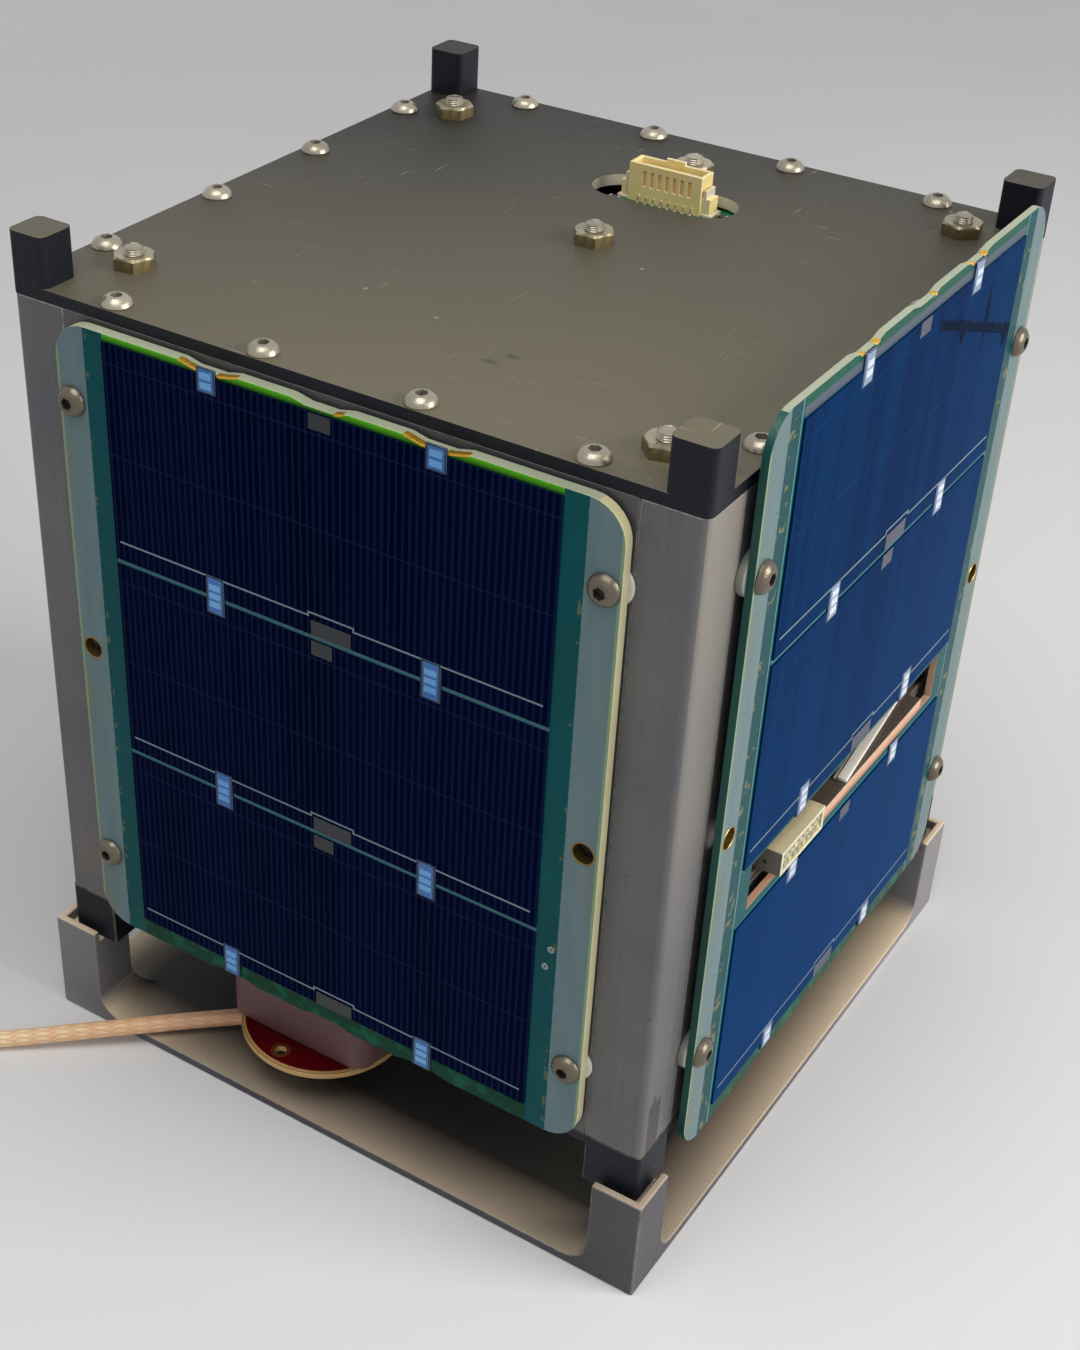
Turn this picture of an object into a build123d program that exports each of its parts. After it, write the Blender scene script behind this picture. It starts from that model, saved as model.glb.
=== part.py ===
from build123d import *
from math import atan2, cos, degrees, pi, radians, sin, tan
import os

os.makedirs("parts", exist_ok=True)

# A one unit cube satellite in its printed cradle. Millimetres, +Z up, the front side faces -Y.
# The origin is on the table, under the middle of the satellite.

# Cradle
cradle_half = 52.05
cradle_base = 1.6
cradle_wall = 1.15
socket_leg = 7.75
socket_ledge = 15.4
socket_top = 17.3
socket_root_radius = 4.0

# Body: the unit is 100 mm square and 100 mm between the outer faces of its two plates
unit = 100.0
half = unit / 2
foot_height = 6.75
foot_width = 8.3
post_height = 6.75
post_width = 5.85
post_radius = 1.0
plate = 1.6
rail_width = 8.5
rail_radius = 1.3
bottom_z = socket_ledge + foot_height
top_z = bottom_z + unit

# Slot in the top plate, with the board and the header under it
top_slot_length = 22.3
top_slot_width = 9.3
top_slot_x = 2.05
top_slot_y = 26.85
top_board_drop = 2.0

# Solar boards: the front kind is short, the right one is longer and has a service slot
board_face = 52.1
board_half_width = 41.3
board_radius = 5.0
screw_across = 39.1
open_hole_radius = 1.6
screw_low_z = top_z - 86.0
screw_mid_z = top_z - 50.2
screw_high_z = top_z - 12.95
washer_radius = 2.85
notch_across = (-16.6, 0.0, 16.4)
notch_mouth = 8.4
notch_floor = 4.0
notch_depth = 0.5
cell_half_width = 33.3
cell_thickness = 0.25
tab_width = 2.5
tab_thickness = 0.2
tab_across = (-16.7, 16.6)
service_slot_half = 30.4
service_slot_low = top_z - 67.5
service_slot_high = top_z - 60.0
frame_sheet = 1.5
frame_half_width = half - rail_width

# Antenna block and board under the body
block_low_x, block_high_x = -23.0, 2.3
block_front_y, block_back_y = -46.1, -21.1
block_radius = 3.0
antenna_x, antenna_y = -10.0, -38.8
antenna_radius = 12.8
antenna_top_z = 9.15
antenna_board_thickness = 1.0
antenna_hole_radius = 0.9

# Feed cable, its coil and its screw plug
cable_diameter = 2.6
cable_radius = cable_diameter / 2
coil_turn_radii = (13.2, 15.8)
coil_layer_pitch = 2.67
coil_outer = coil_turn_radii[1] + cable_radius
coil_inner = coil_turn_radii[0] - cable_radius
coil_height = coil_layer_pitch + cable_diameter
coil_x, coil_y = -80.4, -67.0
plug_flats = 7.94

# Each side: its turn about Z from the front, and the kind of solar board on it
sides = [
    # name, turn in degrees, kind
    ("front", 0, "short"),
    ("right", 90, "long"),
    ("back", 180, "short"),
    ("left", 270, "short"),
]

# Each kind of board: low and high edge, thickness, and its cells from the top down
board_kinds = {
    # kind: (low z, high z, thickness, ((cell low z, cell high z), ...))
    "short": (
        top_z - 98.85,
        top_z - 2.07,
        1.6,
        (
            (top_z - 33.9, top_z - 3.1),
            (top_z - 64.7, top_z - 34.6),
            (top_z - 95.8, top_z - 65.4),
        ),
    ),
    "long": (
        top_z - 103.5,
        top_z + 7.0,
        1.0,
        (
            (top_z - 27.3, top_z + 4.3),
            (top_z - 59.1, top_z - 28.0),
            (top_z - 100.5, top_z - 69.0),
        ),
    ),
}

# Tabs of each kind of board: low and high end, and the stretch that stands on the bare board
tab_kinds = {
    # kind: ((low z, high z, board low z, board high z), ...)
    "short": (
        (top_z - 5.1, top_z - 2.5, top_z - 3.1, top_z - 2.5),
        (top_z - 36.4, top_z - 31.2, top_z - 34.6, top_z - 33.9),
        (top_z - 67.5, top_z - 62.2, top_z - 65.4, top_z - 64.7),
        (top_z - 98.0, top_z - 93.2, top_z - 98.0, top_z - 95.8),
    ),
    "long": (
        (top_z + 2.2, top_z + 6.2, top_z + 4.3, top_z + 6.2),
        (top_z - 29.5, top_z - 24.8, top_z - 28.0, top_z - 27.3),
        (top_z - 59.8, top_z - 55.4, top_z - 59.8, top_z - 59.1),
        (top_z - 71.2, top_z - 67.8, top_z - 69.0, top_z - 67.8),
        (top_z - 101.8, top_z - 98.5, top_z - 101.8, top_z - 100.5),
    ),
}


# A plane on one side of the satellite: its X runs across the side, its Y is up, its Z points out
def side_plane(turn, distance):
    out = Vector(sin(radians(turn)), -cos(radians(turn)), 0)
    across = Vector(cos(radians(turn)), sin(radians(turn)), 0)
    return Plane(origin=out * distance, x_dir=across, z_dir=out)


# The four corners of a square pattern
def corners(distance):
    return GridLocations(2 * distance, 2 * distance, 2, 2)


# Cradle: a thin base with a socket at each corner that takes one foot
with BuildPart() as cradle:
    with BuildSketch(Plane.XY):
        Rectangle(2 * cradle_half, 2 * cradle_half)
    extrude(amount=cradle_base)
    with BuildSketch(Plane.XY.offset(cradle_base)):
        with corners(cradle_half - socket_leg / 2):
            Rectangle(socket_leg, socket_leg)
    extrude(amount=socket_ledge - cradle_base)
    root_edges = (
        cradle.edges()
        .filter_by(GeomType.LINE)
        .filter_by_position(Axis.Z, cradle_base - 0.01, cradle_base + 0.01)
        .filter_by(lambda edge: edge.length < socket_leg + 0.01)
    )
    inner_roots = [
        edge
        for edge in root_edges
        if max(abs(edge.center().X), abs(edge.center().Y)) < cradle_half - 0.01
    ]
    fillet(inner_roots, radius=socket_root_radius)
    with BuildSketch(Plane.XY.offset(socket_ledge)):
        with corners(cradle_half - socket_leg / 2):
            Rectangle(socket_leg, socket_leg)
        Rectangle(
            2 * (cradle_half - cradle_wall), 2 * (cradle_half - cradle_wall), mode=Mode.SUBTRACT
        )
    extrude(amount=socket_top - socket_ledge)
cradle.part.label = "cradle"
export_step(cradle.part, "parts/cradle.step")

# Top plate: one milled piece with a post at each corner and the rounded slot
with BuildPart() as top_plate:
    with BuildSketch(Plane.XY.offset(top_z - plate)):
        RectangleRounded(unit, unit, post_radius)
        with Locations((top_slot_x, top_slot_y)):
            SlotOverall(top_slot_length, top_slot_width, mode=Mode.SUBTRACT)
    extrude(amount=plate)
    with BuildSketch(Plane.XY.offset(top_z)):
        with corners(half - post_width / 2):
            RectangleRounded(post_width, post_width, post_radius)
    extrude(amount=post_height)
top_plate.part.label = "top_plate"
export_step(top_plate.part, "parts/top_plate.step")

# Bottom plate: the same plate with a wider foot at each corner, rounded on the outside
with BuildPart() as bottom_plate:
    with BuildSketch(Plane.XY.offset(bottom_z)):
        RectangleRounded(unit, unit, post_radius)
    extrude(amount=plate)
    with BuildSketch(Plane.XY.offset(socket_ledge)):
        RectangleRounded(unit, unit, post_radius)
        Rectangle(unit, unit - 2 * foot_width, mode=Mode.SUBTRACT)
        Rectangle(unit - 2 * foot_width, unit, mode=Mode.SUBTRACT)
    extrude(amount=foot_height)
bottom_plate.part.label = "bottom_plate"
export_step(bottom_plate.part, "parts/bottom_plate.step")

# Rails: square bars between the plates, with the outer edge rounded
rails = [
    # name, x direction, y direction
    ("rail_front_left", -1, -1),
    ("rail_front_right", 1, -1),
    ("rail_back_left", -1, 1),
    ("rail_back_right", 1, 1),
]
for name, x_way, y_way in rails:
    with BuildPart() as rail:
        with BuildSketch(Plane.XY.offset(bottom_z + plate)):
            with Locations((x_way * (half - rail_width / 2), y_way * (half - rail_width / 2))):
                Rectangle(rail_width, rail_width)
        extrude(amount=unit - 2 * plate)
        outer_edge = rail.edges().filter_by(Axis.Z).sort_by(
            lambda edge: x_way * edge.center().X + y_way * edge.center().Y
        )[-1]
        fillet(outer_edge, radius=rail_radius)
    rail.part.label = name
    export_step(rail.part, f"parts/{name}.step")

# Side frames: sheets between the rails; the right one is cut away behind the service slot
service_window_half = 33.0
service_window_low = service_slot_low
service_window_high = service_slot_high + 2.5
for name, turn, kind in sides:
    with BuildPart() as side_frame:
        with BuildSketch(side_plane(turn, half - frame_sheet)):
            with Locations((0, (bottom_z + top_z) / 2)):
                Rectangle(2 * frame_half_width, unit - 2 * plate)
            if kind == "long":
                with Locations((0, (service_window_low + service_window_high) / 2)):
                    Rectangle(
                        2 * service_window_half,
                        service_window_high - service_window_low,
                        mode=Mode.SUBTRACT,
                    )
        extrude(amount=frame_sheet)
    side_frame.part.label = f"side_frame_{name}"
    export_step(side_frame.part, f"parts/side_frame_{name}.step")

# Solar boards: rounded circuit boards with shallow notches in the top and bottom edges, which dip
# down a slope at each end.
# The outer four screws of a board stay in, with a washer under each; the two middle holes are open.
open_spots = [(way * screw_across, screw_mid_z) for way in (-1, 1)]
notch_outline = [
    (-notch_mouth / 2, notch_depth),
    (-notch_mouth / 2, 0),
    (-notch_floor / 2, -notch_depth),
    (notch_floor / 2, -notch_depth),
    (notch_mouth / 2, 0),
    (notch_mouth / 2, notch_depth),
]
washer_spots = [
    (way * screw_across, height) for way in (-1, 1) for height in (screw_low_z, screw_high_z)
]
for name, turn, kind in sides:
    low, high, thickness, cells = board_kinds[kind]
    board_back = board_face - thickness
    with BuildPart() as solar_board:
        with BuildSketch(side_plane(turn, board_back)):
            with Locations((0, (low + high) / 2)):
                RectangleRounded(2 * board_half_width, high - low, board_radius)
            with Locations(*open_spots):
                Circle(open_hole_radius, mode=Mode.SUBTRACT)
            for edge, turned in ((high, 0), (low, 180)):
                with Locations(*[Location((across, edge, 0), (0, 0, turned)) for across in notch_across]):
                    Polygon(*notch_outline, align=None, mode=Mode.SUBTRACT)
            if kind == "long":
                with Locations((0, (service_slot_low + service_slot_high) / 2)):
                    Rectangle(
                        2 * service_slot_half,
                        service_slot_high - service_slot_low,
                        mode=Mode.SUBTRACT,
                    )
        extrude(amount=thickness)
    solar_board.part.label = f"solar_board_{name}"
    export_step(solar_board.part, f"parts/solar_board_{name}.step")

    # Washers hold each board off its rails
    with BuildPart() as washers:
        with BuildSketch(side_plane(turn, half)):
            with Locations(*washer_spots):
                Circle(washer_radius)
        extrude(amount=board_back - half)
    washers.part.label = f"board_washers_{name}"
    export_step(washers.part, f"parts/board_washers_{name}.step")

    # Three rows of solar cells, bonded to the board
    with BuildPart() as solar_cells:
        with BuildSketch(side_plane(turn, board_face)):
            for cell_low, cell_high in cells:
                with Locations((0, (cell_low + cell_high) / 2)):
                    Rectangle(2 * cell_half_width, cell_high - cell_low)
        extrude(amount=cell_thickness)
    solar_cells.part.label = f"solar_cells_{name}"
    export_step(solar_cells.part, f"parts/solar_cells_{name}.step")

    # Tabs: thin strips that lie on the cells and stand on the board beside them
    with BuildPart() as cell_tabs:
        for tab_low, tab_high, bare_low, bare_high in tab_kinds[kind]:
            with BuildSketch(side_plane(turn, board_face + cell_thickness)):
                for across in tab_across:
                    with Locations((across, (tab_low + tab_high) / 2)):
                        Rectangle(tab_width, tab_high - tab_low)
            extrude(amount=tab_thickness)
            with BuildSketch(side_plane(turn, board_face)):
                for across in tab_across:
                    with Locations((across, (bare_low + bare_high) / 2)):
                        Rectangle(tab_width, bare_high - bare_low)
            extrude(amount=cell_thickness)
    cell_tabs.part.label = f"cell_tabs_{name}"
    export_step(cell_tabs.part, f"parts/cell_tabs_{name}.step")

# Board under the slot of the top plate
top_board_z = top_z - top_board_drop
top_board_thickness = 1.6
top_board_length, top_board_depth = 28.0, 22.0
with BuildPart() as top_board:
    with BuildSketch(Plane.XY.offset(top_board_z - top_board_thickness)):
        with Locations((top_slot_x + 6.0, top_slot_y)):
            Rectangle(top_board_length, top_board_depth)
    extrude(amount=top_board_thickness)
top_board.part.label = "top_board"
export_step(top_board.part, "parts/top_board.step")

# Pin header that stands up through the slot: a shroud open at the top, with a row of windows in
# its front wall, a tongue behind the contacts, a rib in its back wall and a low ear at each end
header_x, header_front_y = 1.7, 27.2
header_length, header_depth, header_height = 11.6, 3.4, 5.6
header_wall, header_floor = 0.5, 1.4
header_ways = 8
header_pitch = 1.2
contact_row_x = 2.0
contact_row_y = header_front_y + 1.0
tongue_y = header_front_y + 2.0
tongue_depth, tongue_drop = 0.9, 0.7
window_width, window_height, window_top = 0.55, 2.2, 1.0
ear_length, ear_depth, ear_height = 1.3, 2.4, 2.6
rib_width = 3.0
header_y = header_front_y + header_depth / 2
header_top_z = top_board_z + header_height
with BuildPart() as top_header:
    with BuildSketch(Plane.XY.offset(top_board_z)):
        with Locations((header_x, header_y)):
            Rectangle(header_length, header_depth)
    extrude(amount=header_height)
    with BuildSketch(Plane.XY.offset(top_board_z + header_floor)):
        with Locations((header_x, header_y)):
            Rectangle(header_length - 2 * header_wall, header_depth - 2 * header_wall)
    extrude(amount=header_height - header_floor, mode=Mode.SUBTRACT)
    with BuildSketch(Plane.XY.offset(top_board_z)):
        with Locations((header_x, tongue_y)):
            Rectangle(header_length - 4 * header_wall, tongue_depth)
    extrude(amount=header_height - tongue_drop)
    with BuildSketch(side_plane(0, -header_front_y)):
        with Locations((contact_row_x, header_top_z - window_top - window_height / 2)):
            with GridLocations(header_pitch, 1, header_ways - 1, 1):
                Rectangle(window_width, window_height)
    extrude(amount=-header_wall, mode=Mode.SUBTRACT)
    with BuildSketch(Plane.XY.offset(top_board_z)):
        with Locations((header_x, header_front_y + header_depth - header_wall / 2)):
            Rectangle(rib_width, header_wall)
    extrude(amount=header_height + header_wall)
    with BuildSketch(Plane.XY.offset(top_board_z)):
        with Locations((header_x, header_y)):
            with GridLocations(header_length + ear_length, 1, 2, 1):
                Rectangle(ear_length, ear_depth)
    extrude(amount=ear_height)
top_header.part.label = "top_header"
export_step(top_header.part, "parts/top_header.step")

# Contacts of the header: a square pin on the floor of the shroud and a foot out of its front,
# for each way
pin_width = 0.32
pin_height = 3.2
pin_foot_reach, pin_foot_height = 1.2, 0.3
with BuildPart() as top_header_pins:
    with BuildSketch(Plane.XY.offset(top_board_z + header_floor)):
        with Locations((contact_row_x, contact_row_y)):
            with GridLocations(header_pitch, 1, header_ways, 1):
                Rectangle(pin_width, pin_width)
    extrude(amount=pin_height)
    with BuildSketch(Plane.XY.offset(top_board_z)):
        with Locations((contact_row_x, header_front_y - pin_foot_reach / 2)):
            with GridLocations(header_pitch, 1, header_ways, 1):
                Rectangle(pin_width, pin_foot_reach)
    extrude(amount=pin_foot_height)
top_header_pins.part.label = "top_header_pins"
export_step(top_header_pins.part, "parts/top_header_pins.step")

# Service plate: a level board inside, which rests on the sill of the right side frame. A lip on its
# outer edge reaches into the slot of the solar board
service_plate_z = top_z - 66.1
service_plate_thickness = service_plate_z - service_window_low
service_plate_inner_x, service_plate_outer_x = 26.0, half
service_lip_x = 51.9
service_lip_low_y, service_lip_high_y = -15.0, 27.0
service_plate_width = 2 * service_window_half - 1.0
with BuildPart() as service_plate:
    with BuildSketch(Plane.XY.offset(service_window_low)):
        with Locations(((service_plate_inner_x + service_plate_outer_x) / 2, 0)):
            Rectangle(service_plate_outer_x - service_plate_inner_x, service_plate_width)
        with Locations(
            ((half + service_lip_x) / 2, (service_lip_low_y + service_lip_high_y) / 2)
        ):
            Rectangle(service_lip_x - half, service_lip_high_y - service_lip_low_y)
    extrude(amount=service_plate_thickness)
service_plate.part.label = "service_plate"
export_step(service_plate.part, "parts/service_plate.step")

# Service header: lies on the plate and looks out through the slot, open to the side
service_header_y, service_header_length = -17.0, 13.0
service_header_inner_x, service_header_outer_x = 46.0, 53.4
service_header_height = 3.9
service_header_wall = 0.6
service_header_depth = 3.4
service_ways, service_pitch = 8, 1.25
with BuildPart() as service_header:
    with BuildSketch(Plane.XY.offset(service_plate_z)):
        with Locations(((service_header_inner_x + service_header_outer_x) / 2, service_header_y)):
            Rectangle(service_header_outer_x - service_header_inner_x, service_header_length)
    extrude(amount=service_header_height)
    with BuildSketch(side_plane(90, service_header_outer_x)):
        with Locations((service_header_y, service_plate_z + service_header_height / 2)):
            Rectangle(
                service_header_length - 2 * service_header_wall,
                service_header_height - 2 * service_header_wall,
            )
    extrude(amount=-service_header_depth, mode=Mode.SUBTRACT)
service_header.part.label = "service_header"
export_step(service_header.part, "parts/service_header.step")

# Contacts of the service header: pins that point out of the floor of its shroud
service_pin_width, service_pin_length = 0.5, 2.6
service_pin_foot_x = service_header_outer_x - service_header_depth
with BuildPart() as service_header_pins:
    with BuildSketch(side_plane(90, service_pin_foot_x)):
        with Locations((service_header_y, service_plate_z + service_header_height / 2)):
            with GridLocations(service_pitch, 1, service_ways, 1):
                Rectangle(service_pin_width, service_pin_width)
    extrude(amount=service_pin_length)
service_header_pins.part.label = "service_header_pins"
export_step(service_header_pins.part, "parts/service_header_pins.step")

# Antenna block, hung from the bottom plate
with BuildPart() as antenna_block:
    with BuildSketch(Plane.XY.offset(antenna_top_z)):
        with Locations(((block_low_x + block_high_x) / 2, (block_front_y + block_back_y) / 2)):
            RectangleRounded(
                block_high_x - block_low_x, block_back_y - block_front_y, block_radius
            )
    extrude(amount=bottom_z - antenna_top_z)
antenna_block.part.label = "antenna_block"
export_step(antenna_block.part, "parts/antenna_block.step")

# Round board on the underside of the block
antenna_hole_x, antenna_hole_y = -10.9, -48.9
antenna_low_z = antenna_top_z - antenna_board_thickness
with BuildPart() as antenna_board:
    with BuildSketch(Plane.XY.offset(antenna_low_z)):
        with Locations((antenna_x, antenna_y)):
            Circle(antenna_radius)
        with Locations((antenna_hole_x, antenna_hole_y)):
            Circle(antenna_hole_radius, mode=Mode.SUBTRACT)
    extrude(amount=antenna_board_thickness)
antenna_board.part.label = "antenna_board"
export_step(antenna_board.part, "parts/antenna_board.step")

# Route of the feed cable, from the mouth of its socket to the coil: chosen by hand
cable_route = [
    (-14.6, -35.6, 4.9),
    (-25.6, -44.0, 4.2),
    (-38.4, -54.4, 3.1),
    (-54.3, -67.2, 1.4),
    (-69.6, -79.1, 1.3),
]

# Socket under the board: a soldered base with a barrel along the cable's first run
socket_base = 4.6
socket_length = 6.0
socket_radius = 2.1
first_run = Vector(*cable_route[1]) - Vector(*cable_route[0])
mouth = Vector(*cable_route[0])
barrel_plane = Plane(origin=mouth, z_dir=first_run * -1)
barrel_end = mouth - first_run.normalized() * (socket_length - socket_base / 2)
with BuildPart() as feed_socket:
    with BuildSketch(barrel_plane):
        Circle(socket_radius)
    extrude(amount=socket_length)
    socket_floor = mouth.Z - socket_radius
    base_turn = degrees(atan2(first_run.Y, first_run.X))
    with BuildSketch(Plane.XY.offset(socket_floor)):
        with Locations(Location((barrel_end.X, barrel_end.Y, 0), (0, 0, base_turn))):
            Rectangle(socket_base, socket_base)
    extrude(amount=antenna_low_z - socket_floor)
feed_socket.part.label = "feed_socket"
export_step(feed_socket.part, "parts/feed_socket.step")


# The arc at each inner point of a route is as large as the two runs beside it allow
def route_radii(route):
    points = [Vector(*point) for point in route]
    radii = []
    for before, here, after in zip(points, points[1:], points[2:]):
        turn = radians((here - before).get_angle(after - here))
        shorter = min((here - before).length, (after - here).length)
        radii.append(0.45 * shorter / tan(turn / 2))
    return radii


cable_radii = route_radii(cable_route)
print("cable radii", [round(radius, 1) for radius in cable_radii])
with BuildPart() as feed_cable:
    with BuildLine() as cable_line:
        FilletPolyline(*cable_route, radius=cable_radii)
    with BuildSketch(Plane(origin=mouth, z_dir=first_run)):
        Circle(cable_radius)
    sweep(path=cable_line.wires()[0])
    tube_volume = feed_cable.part.volume
    with BuildSketch(Plane.XY):
        with Locations((coil_x, coil_y)):
            Circle(coil_outer)
    extrude(amount=coil_height, mode=Mode.SUBTRACT)
cable_length = cable_line.wires()[0].length
volume_ratio = tube_volume / (pi * cable_radius**2 * cable_length)
print("cable run", round(cable_length, 1), "volume ratio", round(volume_ratio, 4))
feed_cable.part.label = "feed_cable"
export_step(feed_cable.part, "parts/feed_cable.step")

# Coil: the outer shape of four turns in two layers, lying flat
with BuildPart() as feed_cable_coil:
    with BuildSketch(Plane.XY):
        with Locations((coil_x, coil_y)):
            Circle(coil_outer)
            Circle(coil_inner, mode=Mode.SUBTRACT)
    extrude(amount=coil_height)
feed_cable_coil.part.label = "feed_cable_coil"
export_step(feed_cable_coil.part, "parts/feed_cable_coil.step")

# Tail: the last few centimetres leave the top layer and run straight into the plug
tail_angle = 186.0
tail_length = 16.0
tail_z = cable_radius + coil_layer_pitch
tail_start = Vector(
    coil_x + coil_turn_radii[1] * cos(radians(tail_angle)),
    coil_y + coil_turn_radii[1] * sin(radians(tail_angle)),
    tail_z,
)
tail_way = Vector(sin(radians(tail_angle)), -cos(radians(tail_angle)), 0)
with BuildPart() as feed_cable_tail:
    with BuildSketch(Plane(origin=tail_start, z_dir=tail_way)):
        Circle(cable_radius)
    extrude(amount=tail_length)
    with BuildSketch(Plane.XY):
        with Locations((coil_x, coil_y)):
            Circle(coil_outer)
    extrude(amount=coil_height, mode=Mode.SUBTRACT)
feed_cable_tail.part.label = "feed_cable_tail"
export_step(feed_cable_tail.part, "parts/feed_cable_tail.step")

# Plug body: crimp ferrule, shoulder and centre pin, turned about the cable's axis
ferrule_radius, ferrule_length = 2.1, 7.0
shoulder_radius, shoulder_length = 3.1, 4.0
front_radius, front_length = 2.3, 7.0
plug_start = tail_start + tail_way * tail_length
plug_side = tail_way.cross(Vector(0, 0, 1))
plug_plane = Plane(origin=plug_start, x_dir=tail_way, z_dir=plug_side)
with BuildPart() as plug_body:
    with BuildSketch(plug_plane):
        with BuildLine():
            Polyline(
                (0, 0),
                (0, ferrule_radius),
                (ferrule_length, ferrule_radius),
                (ferrule_length, shoulder_radius),
                (ferrule_length + shoulder_length, shoulder_radius),
                (ferrule_length + shoulder_length, front_radius),
                (ferrule_length + shoulder_length + front_length, front_radius),
                (ferrule_length + shoulder_length + front_length, 0),
                close=True,
            )
        make_face()
    revolve(axis=Axis(plug_start, tail_way))
plug_body.part.label = "plug_body"
export_step(plug_body.part, "parts/plug_body.step")

# Coupling nut: a hexagon that lies on one flat, bored to turn on the front of the plug body
nut_length = 8.0
nut_bore = 3.0
nut_start = plug_start + tail_way * (ferrule_length + shoulder_length)
with BuildPart() as plug_nut:
    with BuildSketch(Plane(origin=nut_start, x_dir=plug_side, z_dir=tail_way)):
        RegularPolygon(plug_flats / 2, 6, major_radius=False)
        Circle(nut_bore, mode=Mode.SUBTRACT)
    extrude(amount=nut_length)
plug_nut.part.label = "plug_nut"
export_step(plug_nut.part, "parts/plug_nut.step")
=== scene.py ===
import bmesh
import bpy
from math import atan2, cos, floor, pi, radians, sin
from mathutils import Matrix, Vector


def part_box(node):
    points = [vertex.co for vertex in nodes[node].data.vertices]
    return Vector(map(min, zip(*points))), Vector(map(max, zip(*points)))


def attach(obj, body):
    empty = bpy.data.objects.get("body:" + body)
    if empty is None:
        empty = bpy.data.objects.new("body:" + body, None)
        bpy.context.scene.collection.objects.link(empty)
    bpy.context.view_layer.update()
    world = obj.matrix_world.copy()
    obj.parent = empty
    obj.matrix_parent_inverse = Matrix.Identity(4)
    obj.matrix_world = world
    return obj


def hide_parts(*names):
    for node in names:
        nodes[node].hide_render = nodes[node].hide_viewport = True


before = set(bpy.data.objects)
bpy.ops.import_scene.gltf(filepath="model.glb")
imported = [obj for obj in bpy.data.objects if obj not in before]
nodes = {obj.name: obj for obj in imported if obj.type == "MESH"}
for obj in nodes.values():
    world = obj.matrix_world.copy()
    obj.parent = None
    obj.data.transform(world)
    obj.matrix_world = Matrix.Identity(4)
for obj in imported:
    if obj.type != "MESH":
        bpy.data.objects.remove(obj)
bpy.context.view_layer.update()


# Room
# A plain pale table, a big soft lamp overhead and a soft window on the right, with little light from
# the front, so that the front stands in its own shade as in the photograph.
def tone(red, green, blue):
    """A colour as a screen shows it, 0 to 255, in the shader's linear values."""
    shown = (red, green, blue)
    parts = [((part / 255 + 0.055) / 1.055) ** 2.4 if part > 10 else part / 3295 for part in shown]
    return (*parts, 1.0)


class NodeBench:
    """Builds the nodes of one tree; an input is given a value, or the socket that feeds it."""

    def __init__(self, tree):
        self.tree = tree

    def node(self, kind, inputs=None, **settings):
        made = self.tree.nodes.new("ShaderNode" + kind)
        for name, value in settings.items():
            setattr(made, name, value)
        for key, value in (inputs or {}).items():
            if isinstance(value, bpy.types.NodeSocket):
                self.tree.links.new(value, made.inputs[key])
            else:
                made.inputs[key].default_value = value
        return made.outputs

    def math(self, operation, *terms, clamp=False):
        return self.node("Math", dict(enumerate(terms)), operation=operation, use_clamp=clamp)["Value"]

    def times(self, product, *others):
        for other in others:
            product = self.math("MULTIPLY", product, other)
        return product

    def blend(self, share, first, second, kind="FLOAT"):
        """What lies between two ends, by the share of the second."""
        return self.node("Mix", {"Factor": share, "A": first, "B": second}, data_type=kind)["Result"]

    def mix(self, share, *ends):
        """A colour between two ends; each end is a socket, or red, green and blue as a screen shows it."""
        first, second = (end if isinstance(end, bpy.types.NodeSocket) else tone(*end) for end in ends)
        return self.blend(share, first, second, "RGBA")

    def ramp(self, value, low, high, to_low=0.0, to_high=1.0, **settings):
        """Goes from to_low to to_high while the value goes from low to high."""
        ends = {"Value": value, "From Min": low, "From Max": high, "To Min": to_low, "To Max": to_high}
        return self.node("MapRange", ends, **settings)["Result"]

    def noise(self, place, scale, detail, **more):
        return self.node("TexNoise", {"Vector": place, "Scale": scale, "Detail": detail, **more})["Fac"]


class Finish(NodeBench):
    """A material with one Principled shader; constants are set on the shader's own sockets."""

    def __init__(self, name, **constants):
        self.material = bpy.data.materials.new(name)
        self.material.use_nodes = True
        super().__init__(self.material.node_tree)
        self.shader = self.tree.nodes["Principled BSDF"].inputs
        for key, value in constants.items():
            self.shader[key.replace("_", " ")].default_value = value
        self.where = self.node("TexCoord")["Object"]

    def feed(self, **sockets):
        for key, socket in sockets.items():
            self.tree.links.new(socket, self.shader[key.replace("_", " ")])


def clear_view(tree):
    """1 for what the camera, mirrors and glass see, and 0 for the light that falls on things."""
    ray = tree.node("LightPath")
    seen = tree.math("ADD", ray["Is Camera Ray"], ray["Is Glossy Ray"])
    return tree.math("ADD", seen, ray["Is Transmission Ray"], clamp=True)


table_finish = Finish("table_finish", Roughness=0.8, Specular_IOR_Level=0.2)
mottle = table_finish.noise(table_finish.where, 14.0, 3.0)
table_tone = table_finish.mix(mottle, (226, 227, 230), (232, 233, 235))
# Far from the object and the window the floor glows to the eye alone, and so runs into the pale room
lit_middle, far_from, far_to, far_glow = (0.3, 0.06, 0), 0.55, 1.5, 0.52
ends = {0: table_finish.where, 1: lit_middle}
distance = table_finish.node("VectorMath", ends, operation="DISTANCE")["Value"]
far = table_finish.ramp(distance, far_from, far_to, interpolation_type="SMOOTHSTEP")
glow = table_finish.times(far, clear_view(table_finish), far_glow)
table_finish.feed(Base_Color=table_tone, Emission_Color=table_tone, Emission_Strength=glow)

table_half = 3.0
table_corners = [(x * table_half, y * table_half, 0) for x, y in ((-1, -1), (1, -1), (1, 1), (-1, 1))]
table_mesh = bpy.data.meshes.new("table_top")
table_mesh.from_pydata(table_corners, [], [(0, 1, 2, 3)])
table_mesh.materials.append(table_finish.material)
table_top = bpy.data.objects.new("table_top", table_mesh)
bpy.context.collection.objects.link(table_top)

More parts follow.
